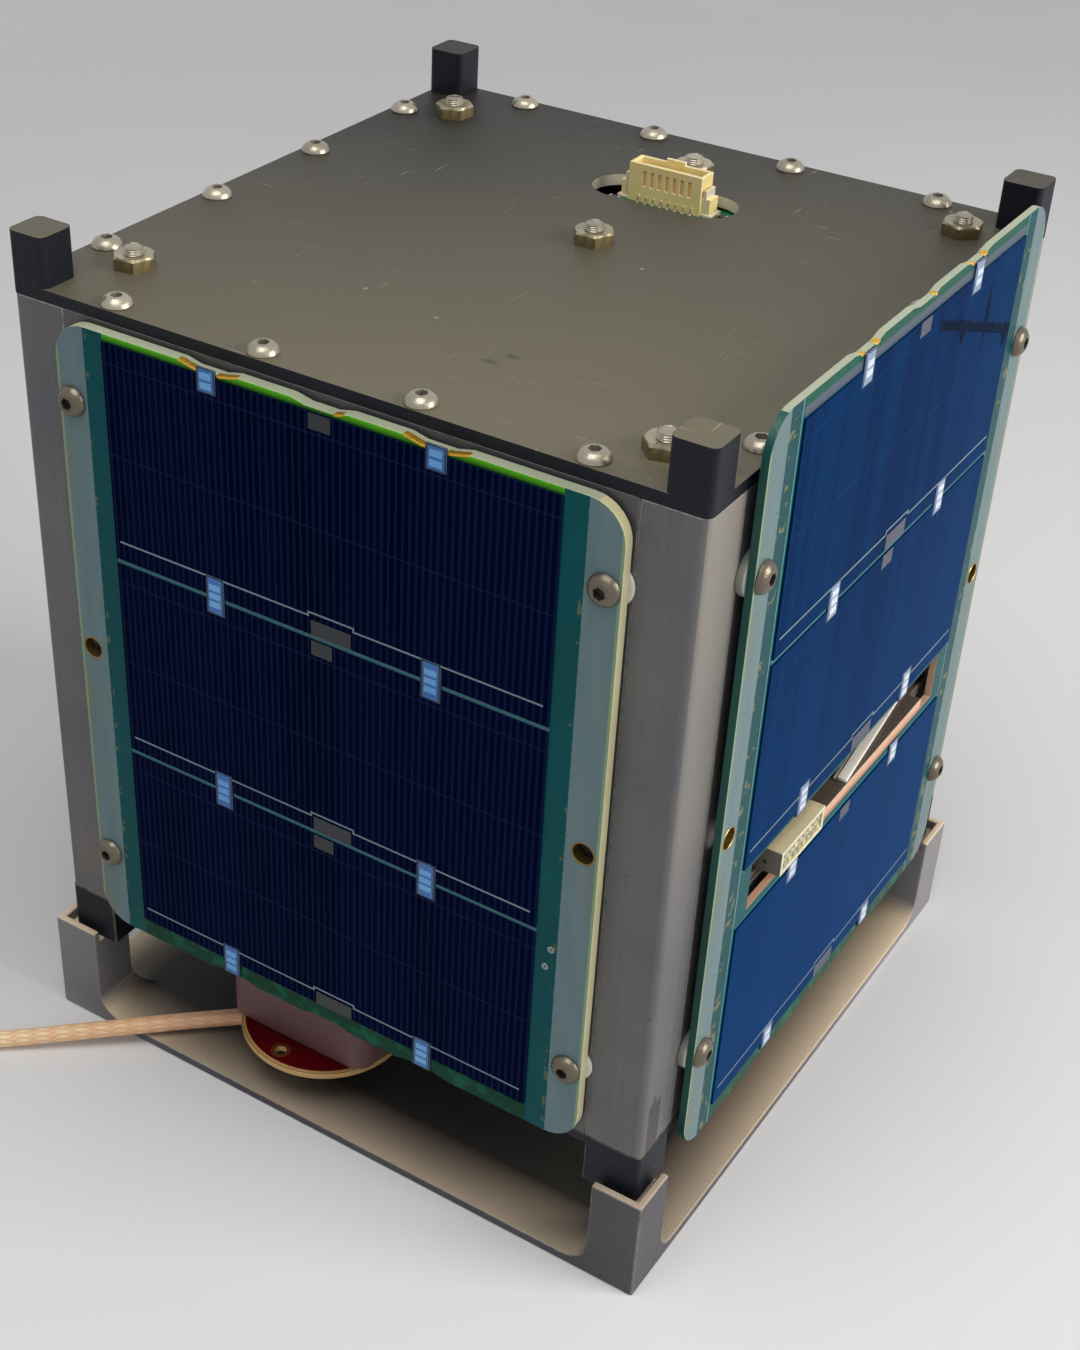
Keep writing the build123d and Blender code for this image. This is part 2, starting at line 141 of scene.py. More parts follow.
# The room lights the object weakly; what the camera and mirrors see of it is pale
room_light, room_seen = 0.22, 0.85
room = bpy.data.worlds.new("room")
room.use_nodes = True
bpy.context.scene.world = room
backdrop = room.node_tree.nodes["Background"].inputs
backdrop["Color"].default_value = (0.93, 0.95, 1.0, 1)
sky = NodeBench(room.node_tree)
strength = sky.math("MULTIPLY_ADD", clear_view(sky), room_seen - room_light, room_light)
room.node_tree.links.new(strength, backdrop["Strength"])


def soft_lamp(name, place, aim, size, power, colour):
    lamp = bpy.data.lights.new(name, "AREA")
    lamp.shape = "RECTANGLE"
    lamp.size, lamp.size_y = size
    lamp.energy = power
    lamp.color = colour
    made = bpy.data.objects.new(name, lamp)
    made.location = place
    made.rotation_euler = (Vector(aim) - Vector(place)).to_track_quat("-Z", "Y").to_euler()
    bpy.context.collection.objects.link(made)


soft_lamp("window", (0.90, 0.16, 0.46), (0, 0, 0.06), (0.6, 0.5), 8.5, (1.0, 0.95, 0.88))
soft_lamp("overhead", (0.04, -0.24, 0.78), (0, 0, 0.06), (0.5, 0.5), 3.0, (1.0, 0.98, 0.94))

# Camera
# It looks at the front right corner from above, as in the photograph, with a slight roll. Its lens
# and its shift were solved from the photograph with the rails 100 mm apart.
camera_place = (0.13099, -0.22626, 0.22759)
camera_azimuth, camera_elevation, camera_roll = 32.592, 34.853, 1.843
camera_data = bpy.data.cameras.new("camera")
camera_data.sensor_fit = "AUTO"
camera_data.sensor_width = 36.0
camera_data.lens = 55.2045
camera_data.shift_x, camera_data.shift_y = 0.06549, 0.03384
camera_data.clip_start = 0.01
camera = bpy.data.objects.new("camera", camera_data)
camera.matrix_world = (
    Matrix.Translation(camera_place)
    @ Matrix.Rotation(radians(camera_azimuth), 4, "Z")
    @ Matrix.Rotation(radians(90 - camera_elevation), 4, "X")
    @ Matrix.Rotation(radians(camera_roll), 4, "Z")
)
bpy.context.collection.objects.link(camera)
bpy.context.scene.camera = camera
bpy.context.scene.view_settings.view_transform = "Standard"


# Cradle
# A stand printed in grey plastic: a thin base and a socket for each foot. Its walls show the printed layers
# and its edges are slightly rounded. What faces up is painted a warm pale tone as light from above, and the
# walls a darker cool grey as shade.
class Effect(NodeBench):
    """A node group for an effect that several finishes share."""

    def __init__(self, name, inputs, outputs):
        super().__init__(bpy.data.node_groups.new(name, "ShaderNodeTree"))
        for way, sockets in (("INPUT", inputs), ("OUTPUT", outputs)):
            for key, kind in sockets.items():
                self.tree.interface.new_socket(name=key, in_out=way, socket_type="NodeSocket" + kind)
        self.given = self.tree.nodes.new("NodeGroupInput").outputs
        self.result = self.tree.nodes.new("NodeGroupOutput").inputs

    def give(self, key, socket):
        self.tree.links.new(socket, self.result[key])

    def on(self, finish, **values):
        """The effect's outputs, placed in a finish."""
        return finish.node("Group", {"Place": finish.where, **values}, node_tree=self.tree)


# Fine grain of a given size, and broad soft mottling
tree = surface_grain = Effect(
    "surface_grain", {"Place": "Vector", "Size": "Float"}, {"Grain": "Float", "Mottle": "Float"}
)
fineness = tree.math("DIVIDE", 1.0, tree.given["Size"])
tree.give("Grain", tree.noise(tree.given["Place"], fineness, 3.0))
tree.give("Mottle", tree.ramp(tree.noise(tree.given["Place"], 42.0, 5.0, Roughness=0.6), 0.34, 0.66))

# A mask of the rounded edges, broken up where the wear stops
tree = edge_wear = Effect("edge_wear", {"Place": "Vector", "Amount": "Float"}, {"Mask": "Float"})
rounded = tree.node("Attribute", attribute_name="edge")["Fac"]
kept = tree.ramp(tree.noise(tree.given["Place"], 600.0, 3.0), 0.3, 0.55)
tree.give("Mask", tree.times(rounded, kept, tree.given["Amount"]))

# Sparse fine scratches and small specks
tree = scuffs = Effect("scuffs", {"Place": "Vector", "Amount": "Float"}, {"Mask": "Float"})
scratches = []
for turn, stretch in ((0.5, (2400, 130, 900)), (2.1, (150, 2600, 900))):
    laid = tree.node("Mapping", {"Vector": tree.given["Place"], "Rotation": (0, 0, turn), "Scale": stretch})
    scratches.append(tree.ramp(tree.noise(laid["Vector"], 1.0, 1.0), 0.72, 0.80))
open_area = tree.ramp(tree.noise(tree.given["Place"], 55.0, 2.0), 0.5, 0.62)
dots = tree.node("TexVoronoi", {"Vector": tree.given["Place"], "Scale": 160.0})
chance = tree.node("SeparateColor", {"Color": dots["Color"]})["Red"]
specks = tree.times(tree.ramp(dots["Distance"], 0.07, 0.03), tree.math("GREATER_THAN", chance, 0.82))
both = tree.math("MAXIMUM", tree.times(tree.math("MAXIMUM", *scratches), open_area), specks)
tree.give("Mask", tree.times(both, tree.given["Amount"]))


class PieceFinish(Finish):
    """A finish whose colours are laid over each other, and whose surface can be raised to the eye."""

    def axes(self, vector):
        return self.node("SeparateXYZ", {"Vector": vector})

    def facing(self):
        return self.axes(self.node("NewGeometry")["Normal"])

    def stretched(self, *scale):
        return self.node("Mapping", {"Vector": self.where, "Scale": scale})["Vector"]

    def tint(self, colour, *shares):
        """Lays a colour over the base by the product of the shares."""
        self.base = self.mix(self.times(*shares), self.base, colour)

    def emboss(self, height, strength, distance, **under):
        given = {"Height": height, "Strength": strength, "Distance": distance, **under}
        self.relief = self.node("Bump", given)["Normal"]
        self.feed(Normal=self.relief)


class Worked(PieceFinish):
    """A finish with grain, mottling, worn edges and scuffs; edge and marks are a colour and an amount."""

    def __init__(self, name, first, second, rough, grain, bump, edge=None, marks=None, **constants):
        super().__init__(name, **constants)
        surface = surface_grain.on(self, Size=grain)
        self.mottle = surface["Mottle"]
        self.base = self.mix(self.mottle, first, second)
        for effect, laid in ((scuffs, marks), (edge_wear, edge)):
            if laid:
                self.tint(laid[:3], effect.on(self, Amount=laid[3])["Mask"])
        self.feed(Base_Color=self.base, Roughness=self.ramp(surface["Grain"], 0.3, 0.7, *rough))
        self.emboss(surface["Grain"], bump, 0.0001)


def rounded_edges(bm, width, segments=2):
    """Rounds every sharp edge and marks the new faces, so that wear can follow them."""
    mark = bm.faces.layers.float.new("edge")
    shared = [edge for edge in bm.edges if len(edge.link_faces) == 2]
    sharp = [edge for edge in shared if edge.calc_face_angle(0) > radians(30)]
    made = bmesh.ops.bevel(
        bm, geom=sharp, offset=width, segments=segments, profile=0.5, affect="EDGES", clamp_overlap=True
    )
    for face in made["faces"]:
        face[mark] = 1.0


def surface_piece(name, slot, bm, *finishes, turn=0, crisp=False, replaced=()):
    """A piece that rides with the satellite, smooth but for its sharp edges, and stands for CAD nodes."""
    mesh = bpy.data.meshes.new(name)
    bm.normal_update()
    bm.to_mesh(mesh)
    bm.free()
    mesh.shade_smooth()
    mesh.set_sharp_from_angle(angle=radians(38))
    for finish in finishes:
        mesh.materials.append(finish.material)
    piece = bpy.data.objects.new(name, mesh)
    bpy.context.collection.objects.link(piece)
    piece.rotation_euler.z = radians(turn)
    if crisp:
        # Flat faces stay flat to the eye beside their rounded edges
        piece.modifiers.new("even_flats", "WEIGHTED_NORMAL").keep_sharp = True
    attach(piece, "root")
    if replaced:
        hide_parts(*replaced)
    return piece


def dressed(node_name, name, slot, width, *finishes, turn=0, finish_at=None, segments=2, crisp=True):
    """A CAD node's own surface with clean flats and rounded edges; turn brings a side to the front."""
    bm = bmesh.new()
    bm.from_mesh(nodes[node_name].data)
    bmesh.ops.remove_doubles(bm, verts=bm.verts, dist=1e-6)
    bmesh.ops.dissolve_limit(bm, angle_limit=radians(1), verts=bm.verts, edges=bm.edges)
    bmesh.ops.rotate(bm, cent=(0, 0, 0), matrix=Matrix.Rotation(-radians(turn), 3, "Z"), verts=bm.verts)
    rounded_edges(bm, width, segments)
    if finish_at:
        bm.normal_update()
        for face in bm.faces:
            face.material_index = finish_at(face.calc_center_median(), face.normal)
    surface_piece(name, slot, bm, *finishes, turn=turn, crisp=crisp, replaced=[node_name])


tree = print_grey = Worked(
    "print_grey", (74, 74, 80), (86, 85, 89), (0.42, 0.6), 0.0006, 0.25,
    edge=(138, 131, 122, 0.6), marks=(74, 71, 71, 0.4), Specular_IOR_Level=0.25,
)
layer_height, pass_width = 0.0002, 0.0006
place = tree.axes(tree.where)
layers = tree.math("SINE", tree.times(place["Z"], 2 * pi / layer_height))
passes = tree.math("SINE", tree.times(tree.math("ADD", place["X"], place["Y"]), 2 * pi / pass_width))
level = tree.facing()["Z"]
flat = tree.math("GREATER_THAN", tree.math("ABSOLUTE", level), 0.9)
tree.emboss(tree.blend(flat, layers, passes), 0.35, 0.00005, Normal=tree.relief)
# Painted light: the back and left parts are tinted paler, as if more strongly lit there
back_part, left_part = tree.ramp(place["Y"], -0.052, 0.030), tree.ramp(place["X"], -0.030, -0.050)
tree.tint((146, 144, 148), tree.math("MAXIMUM", tree.math("POWER", back_part, 3.0), left_part), 0.8)
# The walls keep a darker cool grey as painted shade, and what faces up gets a warm pale tone as painted
# light
wall_shade_tone = tree.base
tree.base = tree.mix(tree.mottle, (166, 151, 134), (180, 165, 147))
tree.tint((232, 211, 183), tree.math("MAXIMUM", back_part, left_part))
# Painted shadow of the satellite: the middle of the floor, which the satellite covers, is darker than the
# open rim
outmost = tree.math("MAXIMUM", tree.math("ABSOLUTE", place["X"]), tree.math("ABSOLUTE", place["Y"]))
tree.tint((48, 46, 43), tree.ramp(outmost, 0.0515, 0.0425), tree.math("LESS_THAN", place["Z"], 0.004))
tree.feed(Base_Color=tree.mix(tree.ramp(level, 0.25, 0.8), wall_shade_tone, tree.base))
dressed("cradle", "cradle_print", "cradle_print", 0.0003, print_grey)

# Top and bottom plates
# Two aluminium plates of 1.6 mm, milled with their posts and feet and hard anodised a dark grey brown. The
# edges are rubbed lighter. The faces that look up, post tops too, are painted paler than the sides as light
# from above, and the sides darker as shade. The top has small scratches and specks.
tree = plate_dark = Worked(
    "plate_dark", (11, 16, 26), (19, 23, 32), (0.42, 0.58), 0.00035, 0.35,
    edge=(112, 107, 94, 0.6), marks=(90, 86, 76, 0.4), Specular_IOR_Level=0.22,
)
post_height = 0.00675
plate_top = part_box("top_plate")[1].z - post_height
# Painted light: the faces that look up are paler than the posts' sides, which stay dark as painted shade
place = tree.axes(tree.where)
shaded_sides_tone = tree.base
rub = tree.ramp(tree.noise(tree.where, 30.0, 4.0), 0.36, 0.64)
tree.base = tree.mix(rub, (27, 27, 23), (42, 41, 36))
# Painted light: the upper face is palest toward the front, as a lamp's falloff toward the back
lamp_falloff_lean = tree.math("MULTIPLY_ADD", place["X"], -0.6, place["Y"])
tree.tint((129, 122, 101), tree.ramp(lamp_falloff_lean, 0.060, -0.060), 0.66)
tree.tint((160, 152, 132), scuffs.on(tree, Amount=0.8)["Mask"])
# Two dark smudges near the front of the plate
smudge_half_x, smudge_half_y = 0.0013, 0.0008
smudges = []
for smudge_x, smudge_y in ((0.0118, -0.0339), (0.0133, -0.0311)):
    away_x = tree.times(tree.math("SUBTRACT", place["X"], smudge_x), 1 / smudge_half_x)
    away_y = tree.times(tree.math("SUBTRACT", place["Y"], smudge_y), 1 / smudge_half_y)
    away = tree.math("ADD", tree.times(away_x, away_x), tree.times(away_y, away_y))
    smudges.append(tree.math("SUBTRACT", 1.0, away, clamp=True))
tree.tint((52, 49, 42), tree.math("MAXIMUM", *smudges), 0.6)
# Faces that look up take the painted lit tone, and the sides take the painted shaded tone
tree.feed(Base_Color=tree.mix(tree.ramp(tree.facing()["Z"], 0.5, 0.95), shaded_sides_tone, tree.base))

# The slot was cut after the anodising, so its wall is bare
bare_wall = Worked(
    "bare_wall", (204, 202, 186), (222, 219, 204), (0.3, 0.45), 0.0003, 0.3,
    edge=(200, 194, 178, 0.6), marks=(120, 114, 100, 0.4), Metallic=0.3,
)
slot_low, slot_high = Vector((-0.0108, 0.0226)), Vector((0.0148, 0.0346))


def wall_of_slot(centre, normal):
    within = slot_low.x < centre.x < slot_high.x and slot_low.y < centre.y < slot_high.y
    return int(within and abs(normal.z) < 0.5)


plate_edge, plate_finishes = 0.00028, (plate_dark, bare_wall)
dressed(
    "top_plate", "top_plate_milled", "dark_metal", plate_edge, *plate_finishes, finish_at=wall_of_slot
)
dressed("bottom_plate", "bottom_plate_milled", "dark_metal", plate_edge, *plate_finishes)

# Rails
# Four square aluminium bars between the plates, anodised natural grey. Long streaks from the drawing
# and from sliding in a rack run down them, with a dark rub mark low on the front right corner.
tree = rail_grey = Worked(
    "rail_grey", (97, 99, 105), (111, 110, 110), (0.38, 0.55), 0.0005, 0.25,
    edge=(190, 180, 168, 0.7), marks=(70, 66, 62, 0.55), Metallic=0.2, Specular_IOR_Level=0.3,
)
place = tree.axes(tree.where)
drawn = tree.stretched(900, 900, 14)
tree.tint((92, 88, 86), tree.ramp(tree.noise(drawn, 1.0, 3.0), 0.42, 0.70), 0.35)
# Painted light: the outer sides are paler toward the top, as lit from the side
lit_outer_side = tree.math("GREATER_THAN", tree.math("ABSOLUTE", tree.facing()["X"]), 0.7)
tree.tint((150, 144, 136), lit_outer_side, tree.ramp(place["Z"], 0.05, 0.12), 0.7)
# The dark rub: low on the corner, ragged above
rub_x, rub_y, rub_z = 0.0500, -0.0470, 0.0285
near_x = tree.math("COMPARE", place["X"], rub_x, 0.0012)
near_y = tree.math("COMPARE", place["Y"], rub_y, 0.0016)
ragged_end = tree.math("MULTIPLY_ADD", tree.noise(drawn, 0.6, 2.0), 0.009, rub_z)
tree.tint((58, 52, 50), near_x, near_y, tree.math("LESS_THAN", place["Z"], ragged_end), 0.75)
tree.feed(Base_Color=tree.base)
for rail in ("rail_front_left", "rail_front_right", "rail_back_left", "rail_back_right"):
    dressed(rail, rail + "_bar", "rail_metal", 0.0002, rail_grey)

# Side frames
# Plain aluminium sheets behind the solar boards, in the same natural grey but duller, as they are
# never touched. They close each side between the rails and show only in the gaps.
frame_grey = Worked(
    "frame_grey", (84, 84, 88), (98, 96, 96), (0.45, 0.6), 0.0005, 0.3,
    edge=(150, 146, 140, 0.5), marks=(60, 58, 56, 0.4), Metallic=0.35,
)
sides = (("front", 0), ("right", 90), ("back", 180), ("left", 270))
for side, turn in sides:
    dressed("side_frame_" + side, "side_sheet_" + side, "grey_metal", 0.00012, frame_grey)

# Solar boards
# Glass fibre circuit boards under a teal solder mask, with a bare tinned strip down each side and a green
# mask along the top, painted to glow bright at its head on the short boards. Four screws and white washers
# hold each one off its rails.
board_half = 0.0413
board_plane = -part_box("solar_board_front")[0].y
tinned_from = {"short": 0.0365, "long": 0.0369}
cells_to = 0.0333
kind_of = {"front": "short", "right": "long", "back": "short", "left": "short"}
cell_rows = {
    "short": ((-0.0339, -0.0031), (-0.0647, -0.0346), (-0.0958, -0.0654)),
    "long": ((-0.0273, 0.0043), (-0.0591, -0.0280), (-0.1005, -0.0690)),
}
# Where the strip above the top cells turns from its foot to its head: on the short boards a soft rise from a
# dark green foot to a painted bright green glow, and on the long board a sharp change from tin to green mask
strip_tone_and_glow = {"short": (-0.0031, -0.0021, (8, 30, 20)), "long": (0.0056, 0.0058, (76, 90, 104))}
copper_half = 0.00012
copper_lines = {"short": [], "long": [(-0.0594, copper_half), (-0.0687, copper_half)]}


def board_face_finish(kind, teal, green):
    """The front of a board: its stripes are placed by the distance across and the height."""
    tree = PieceFinish("board_face_" + kind, IOR=1.18)
    place = tree.axes(tree.where)
    surface = surface_grain.on(tree, Size=0.0004)
    across = tree.math("ABSOLUTE", place["X"])
    height = tree.math("SUBTRACT", place["Z"], plate_top)
    tree.base = tree.mix(surface["Mottle"], teal, (0, 74, 80))
    # The mask over bare laminate is green: above the top cells and below the last
    rows = cell_rows[kind]
    middle = tree.math("LESS_THAN", across, cells_to)
    lit_from, lit_to, dull = strip_tone_and_glow[kind]
    # On the short boards the head is a painted glow of light; on the long board the two tones meet sharply
    head = tree.mix(tree.ramp(height, lit_from, lit_to), dull, green)
    tree.tint(head, tree.math("GREATER_THAN", height, rows[0][1]), middle)
    spots = tree.ramp(tree.noise(tree.where, 420.0, 2.0), 0.5, 0.62)
    foot = tree.mix(spots, (0, 62, 44), (10, 88, 66))
    tree.tint(foot, tree.math("LESS_THAN", height, rows[-1][0]), middle)
    # Pale copper shows between two cells, and as thin lines beside the slot
    gaps = [
        ((above[0] + below[1]) / 2, (above[0] - below[1]) / 2 + 0.0001)
        for above, below in zip(rows, rows[1:])
        if above[0] - below[1] < 0.002
    ]
    for level, half in gaps + copper_lines[kind]:
        tree.tint((84, 136, 146), tree.math("COMPARE", height, level, half), middle, 0.85)
    if kind == "long":
        # Beside the cells the mask is dark teal up to the strip, with one pale line down it
        line_across, line_half = 0.0339, 0.00012
        tree.tint((0, 66, 72), tree.math("GREATER_THAN", across, line_across + 0.0002), 0.8)
        tree.tint((120, 168, 170), tree.math("COMPARE", across, line_across, line_half), 0.7)
    # Flecks of bare gold along the border of the tinned strip
    flecked, gold_share = (0.0011, 0.3) if kind == "long" else (0.0003, 0.2)
    fleck = tree.math("GREATER_THAN", tree.noise(tree.where, 700.0, 1.0), 0.64)
    border = tree.math("COMPARE", across, tinned_from[kind] - flecked, flecked)
    tree.tint((190, 160, 70), fleck, border, gold_share)
    # The tin is streaked down the board and blooms toward its outer side
    tinned = tree.math("GREATER_THAN", across, tinned_from[kind])
    tin = tree.mix(tree.noise(tree.stretched(500, 500, 60), 1.0, 4.0), (92, 118, 124), (118, 140, 144))
    bloom = tree.ramp(tree.noise(tree.where, 90.0, 3.0), 0.48, 0.68)
    outer = tree.ramp(across, board_half - 0.0035, board_half - 0.0005)
    tree.tint(tree.mix(tree.times(bloom, outer, 0.6), tin, (126, 122, 96)), tinned)
    # A thin line of mask is left down the rim
    rim_line = 0.0004
    tree.tint((150, 176, 120), tree.math("GREATER_THAN", across, board_half - rim_line), 0.6)
    rough = tree.ramp(surface["Grain"], 0.3, 0.7, 0.26, 0.42)
    tree.feed(Base_Color=tree.base, Metallic=tree.times(tinned, 0.25), Roughness=rough)
    tree.emboss(tree.math("MULTIPLY_ADD", surface["Grain"], 0.25, tinned), 0.25, 0.00006)
    return tree


# Sawn laminate edges, lighter where they are rubbed
laminate_cream, laminate_green, laminate_head, slot_edge = (
    Worked(name, first, second, (0.3, 0.5), 0.0003, 0.3, edge=(*rubbed, 0.7), Specular_IOR_Level=0.5)
    for name, first, second, rubbed in (
        ("laminate_cream", (196, 192, 148), (212, 208, 170), (228, 226, 196)),
        ("laminate_green", (0, 62, 58), (6, 80, 72), (70, 140, 128)),
        ("laminate_head", (164, 172, 146), (182, 189, 164), (206, 210, 190)),
        ("slot_edge", (196, 150, 126), (214, 172, 146), (226, 196, 170)),
    )
)
board_back = Worked(
    "board_back", (0, 84, 84), (6, 98, 94), (0.28, 0.42), 0.0004, 0.3,
    edge=(60, 140, 130, 0.5), marks=(60, 130, 124, 0.3),
)
board_finishes = {
    kind: (board_face_finish(kind, teal, green), edge, board_back, slot_edge, laminate_head)
    for kind, teal, green, edge in (
        ("short", (0, 86, 90), (92, 196, 22), laminate_cream),
        ("long", (0, 82, 88), (0, 80, 64), laminate_green),
    )
}
cut_half, cut_low, cut_high = 0.0305, -0.0676, -0.0599


def board_part(centre, normal):
    """Which finish a face of a board has; only the long board has the service slot."""
    if abs(normal.y) > 0.9:
        return 0 if normal.y < 0 else 2
    in_slot = abs(centre.x) < cut_half and cut_low < centre.z - plate_top < cut_high
    return 3 if in_slot else 4 if normal.z > 0.95 else 1


washer_white = Worked(
    "washer_white", (208, 206, 198), (224, 222, 214), (0.4, 0.55), 0.0004, 0.2, edge=(226, 224, 214, 0.5),
    marks=(160, 156, 146, 0.3), Subsurface_Weight=0.1, Subsurface_Radius=(0.0006, 0.0005, 0.0004),
)
washer_aged = Worked(
    "washer_aged", (126, 130, 124), (146, 148, 140), (0.4, 0.55), 0.0004, 0.2,
    edge=(166, 166, 158, 0.5), marks=(110, 108, 100, 0.3),
)
for side, turn in sides:
    dressed(
        "solar_board_" + side, "circuit_board_" + side, "solar_board", 0.00012,
        *board_finishes[kind_of[side]], turn=turn, finish_at=board_part,
    )
for side, turn in sides:
    washer = washer_aged if side == "right" else washer_white
    dressed("board_washers_" + side, "washers_" + side, "washer_plastic", 0.00018, washer, turn=turn)

# Solar cells
# Thin blue black cells under a clear coat, with fine printed fingers, a silver busbar near the foot
# of each row and grey diode pads in the middle. They are bonded to the boards in rows.
tree = cell_print = Effect(
    "cell_print", {"Across": "Float", "Height": "Float", "Row Top": "Float"},
    {"Fingers": "Float", "Level Lines": "Float"},
)
finger_pitch, finger_share = 0.001, 0.36
phase = tree.math("FRACT", tree.math("DIVIDE", tree.given["Across"], finger_pitch))
tree.give("Fingers", tree.math("LESS_THAN", phase, finger_share))
fallen = tree.math("SUBTRACT", tree.given["Row Top"], tree.given["Height"])
level_lines = (tree.math("COMPARE", fallen, drop, 0.00013) for drop in (0.0027, 0.0154))
tree.give("Level Lines", tree.math("MAXIMUM", *level_lines))


def cell_finish(kind, deep, finger, sheen, index, finger_share):
    """Fingers over uneven bands; the long board's cells carry a painted reflection that makes them bluer
    toward the foot, and they are worn at the top.
    """
    tree = PieceFinish("cells_" + kind, IOR=index, Specular_Tint=sheen)
    place = tree.axes(tree.where)
    height = tree.math("SUBTRACT", place["Z"], plate_top)
    # The top of the row that this height is in
    row_top = cell_rows[kind][0][1]
    for (above_low, _), (_, next_high) in zip(cell_rows[kind], cell_rows[kind][1:]):
        inside = tree.math("LESS_THAN", height, (above_low + next_high) / 2)
        row_top = tree.math("ADD", row_top, tree.times(inside, tree.math("SUBTRACT", next_high, row_top)))
    print_places = {"Across": place["X"], "Height": height, "Row Top": row_top}
    printed = tree.node("Group", print_places, node_tree=cell_print.tree)
    bands = tree.ramp(tree.noise(tree.stretched(240, 240, 5), 1.0, 2.0), 0.36, 0.64)
    tree.base = tree.mix(bands, *deep)
    tree.tint(finger, printed["Fingers"], finger_share)
    tree.tint(finger, printed["Level Lines"], 0.4)
    if kind == "long":
        # Painted reflection: the cells grow a brighter blue toward the foot
        tree.tint((0, 56, 112), tree.ramp(height, -0.02, -0.09), 0.6)
        # A dark ragged line falls from here across the top cell, with two thicker tips on it
        line_x, line_z, line_fall = 0.005, 0.0012, -0.375
        tip_places, tip_half, tip_reach, tip_drop = (0.0141, 0.0313), 0.0014, 0.0012, -0.0010
        drift = tree.noise(tree.where, 900.0, 2.0)
        line = tree.math("MULTIPLY_ADD", tree.math("SUBTRACT", place["X"], line_x), line_fall, line_z)
        line = tree.math("MULTIPLY_ADD", drift, 0.0010, line)
        reach = tree.math("MULTIPLY_ADD", drift, 0.0008, 0.0003)
        for tip_x in tip_places:
            away = tree.math("ABSOLUTE", tree.math("SUBTRACT", place["X"], tip_x))
            tip = tree.math("SUBTRACT", 1.0, tree.times(away, 1 / tip_half), clamp=True)
            reach = tree.math("MULTIPLY_ADD", tip, tip_reach, reach)
            line = tree.math("MULTIPLY_ADD", tip, tip_drop, line)
        off_line = tree.math("ABSOLUTE", tree.math("SUBTRACT", height, line))
        beyond = tree.ramp(place["X"], line_x - 0.001, line_x + 0.002)
        ridge = tree.times(tree.math("LESS_THAN", off_line, reach), beyond, 0.85)
        # One upright crack, widest in its middle
        crack_x, crack_z, crack_half, crack_reach = 0.0226, -0.0032, 0.0006, 0.0050
        off_crack = tree.math("ABSOLUTE", tree.math("SUBTRACT", place["X"], crack_x))
        off_middle = tree.math("ABSOLUTE", tree.math("SUBTRACT", height, crack_z))
        taper = tree.math("MULTIPLY_ADD", off_middle, -crack_half / crack_reach, crack_half)
        tree.tint((2, 8, 24), tree.math("MAXIMUM", ridge, tree.math("LESS_THAN", off_crack, taper)), 0.9)
    grain = surface_grain.on(tree, Size=0.0012)["Grain"]
    tree.feed(Base_Color=tree.base, Roughness=tree.ramp(grain, 0.3, 0.7, 0.16, 0.26))
    tree.emboss(printed["Fingers"], 0.2, 0.00002)
    return tree


# Painted light: the long board's cells, on the lit right side, have a paler and bluer base than the short
# boards' cells
cell_finishes = {
    "short": cell_finish("short", ((0, 7, 36), (1, 11, 46)), (30, 42, 76), (0.4, 0.5, 1.0, 1), 1.05, 0.42),
    "long": cell_finish("long", ((0, 32, 74), (0, 44, 90)), (8, 58, 104), (0.3, 0.7, 1.0, 1), 1.035, 0.26),
}
for side, turn in sides:
    dressed(
        "solar_cells_" + side, "cell_rows_" + side, "solar_cell", 0.00006, cell_finishes[kind_of[side]],
        turn=turn, segments=1, crisp=False,
    )


def block(bm, low, high, finish=0, place=Matrix()):
    """A small block between two corners."""
    size = Vector(high) - Vector(low)
    middle = (Vector(high) + Vector(low)) / 2
    shape = place @ Matrix.Translation(middle) @ Matrix.Diagonal((*size, 1))
    made = bmesh.ops.create_cube(bm, size=1.0, matrix=shape)
    for face in {face for corner in made["verts"] for face in corner.link_faces}:
        face.material_index = finish


cell_face = -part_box("solar_cells_front")[0].y


def on_cells(bm, left, right, foot, head, reach, finish=0, back=0.0):
    """A thin form on the front that stands this far out from the cells."""
    block(bm, (left, -cell_face - reach, foot), (right, -cell_face - back, head), finish)


busbar_silver = Worked(
    "busbar_silver", (100, 124, 136), (122, 144, 154), (0.3, 0.45), 0.0003, 0.2,
    edge=(160, 178, 188, 0.5), Metallic=0.3,
)
diode_grey = Worked(
    "diode_grey", (34, 37, 43), (46, 48, 54), (0.35, 0.5), 0.0004, 0.3,
    edge=(92, 92, 96, 0.4), marks=(28, 28, 32, 0.4), Metallic=0.2,
)
# The long board's pads are bare, and paler
diode_bare = Worked(
    "diode_bare", (54, 60, 84), (68, 72, 94), (0.3, 0.45), 0.0004, 0.3,
    edge=(112, 108, 112, 0.4), marks=(56, 56, 70, 0.4), Metallic=0.2,
)
pad_finish = {"short": diode_grey, "long": diode_bare}
busbar_half, busbar_width, busbar_reach, busbar_jog = 0.0324, 0.00024, 0.00004, 0.0005
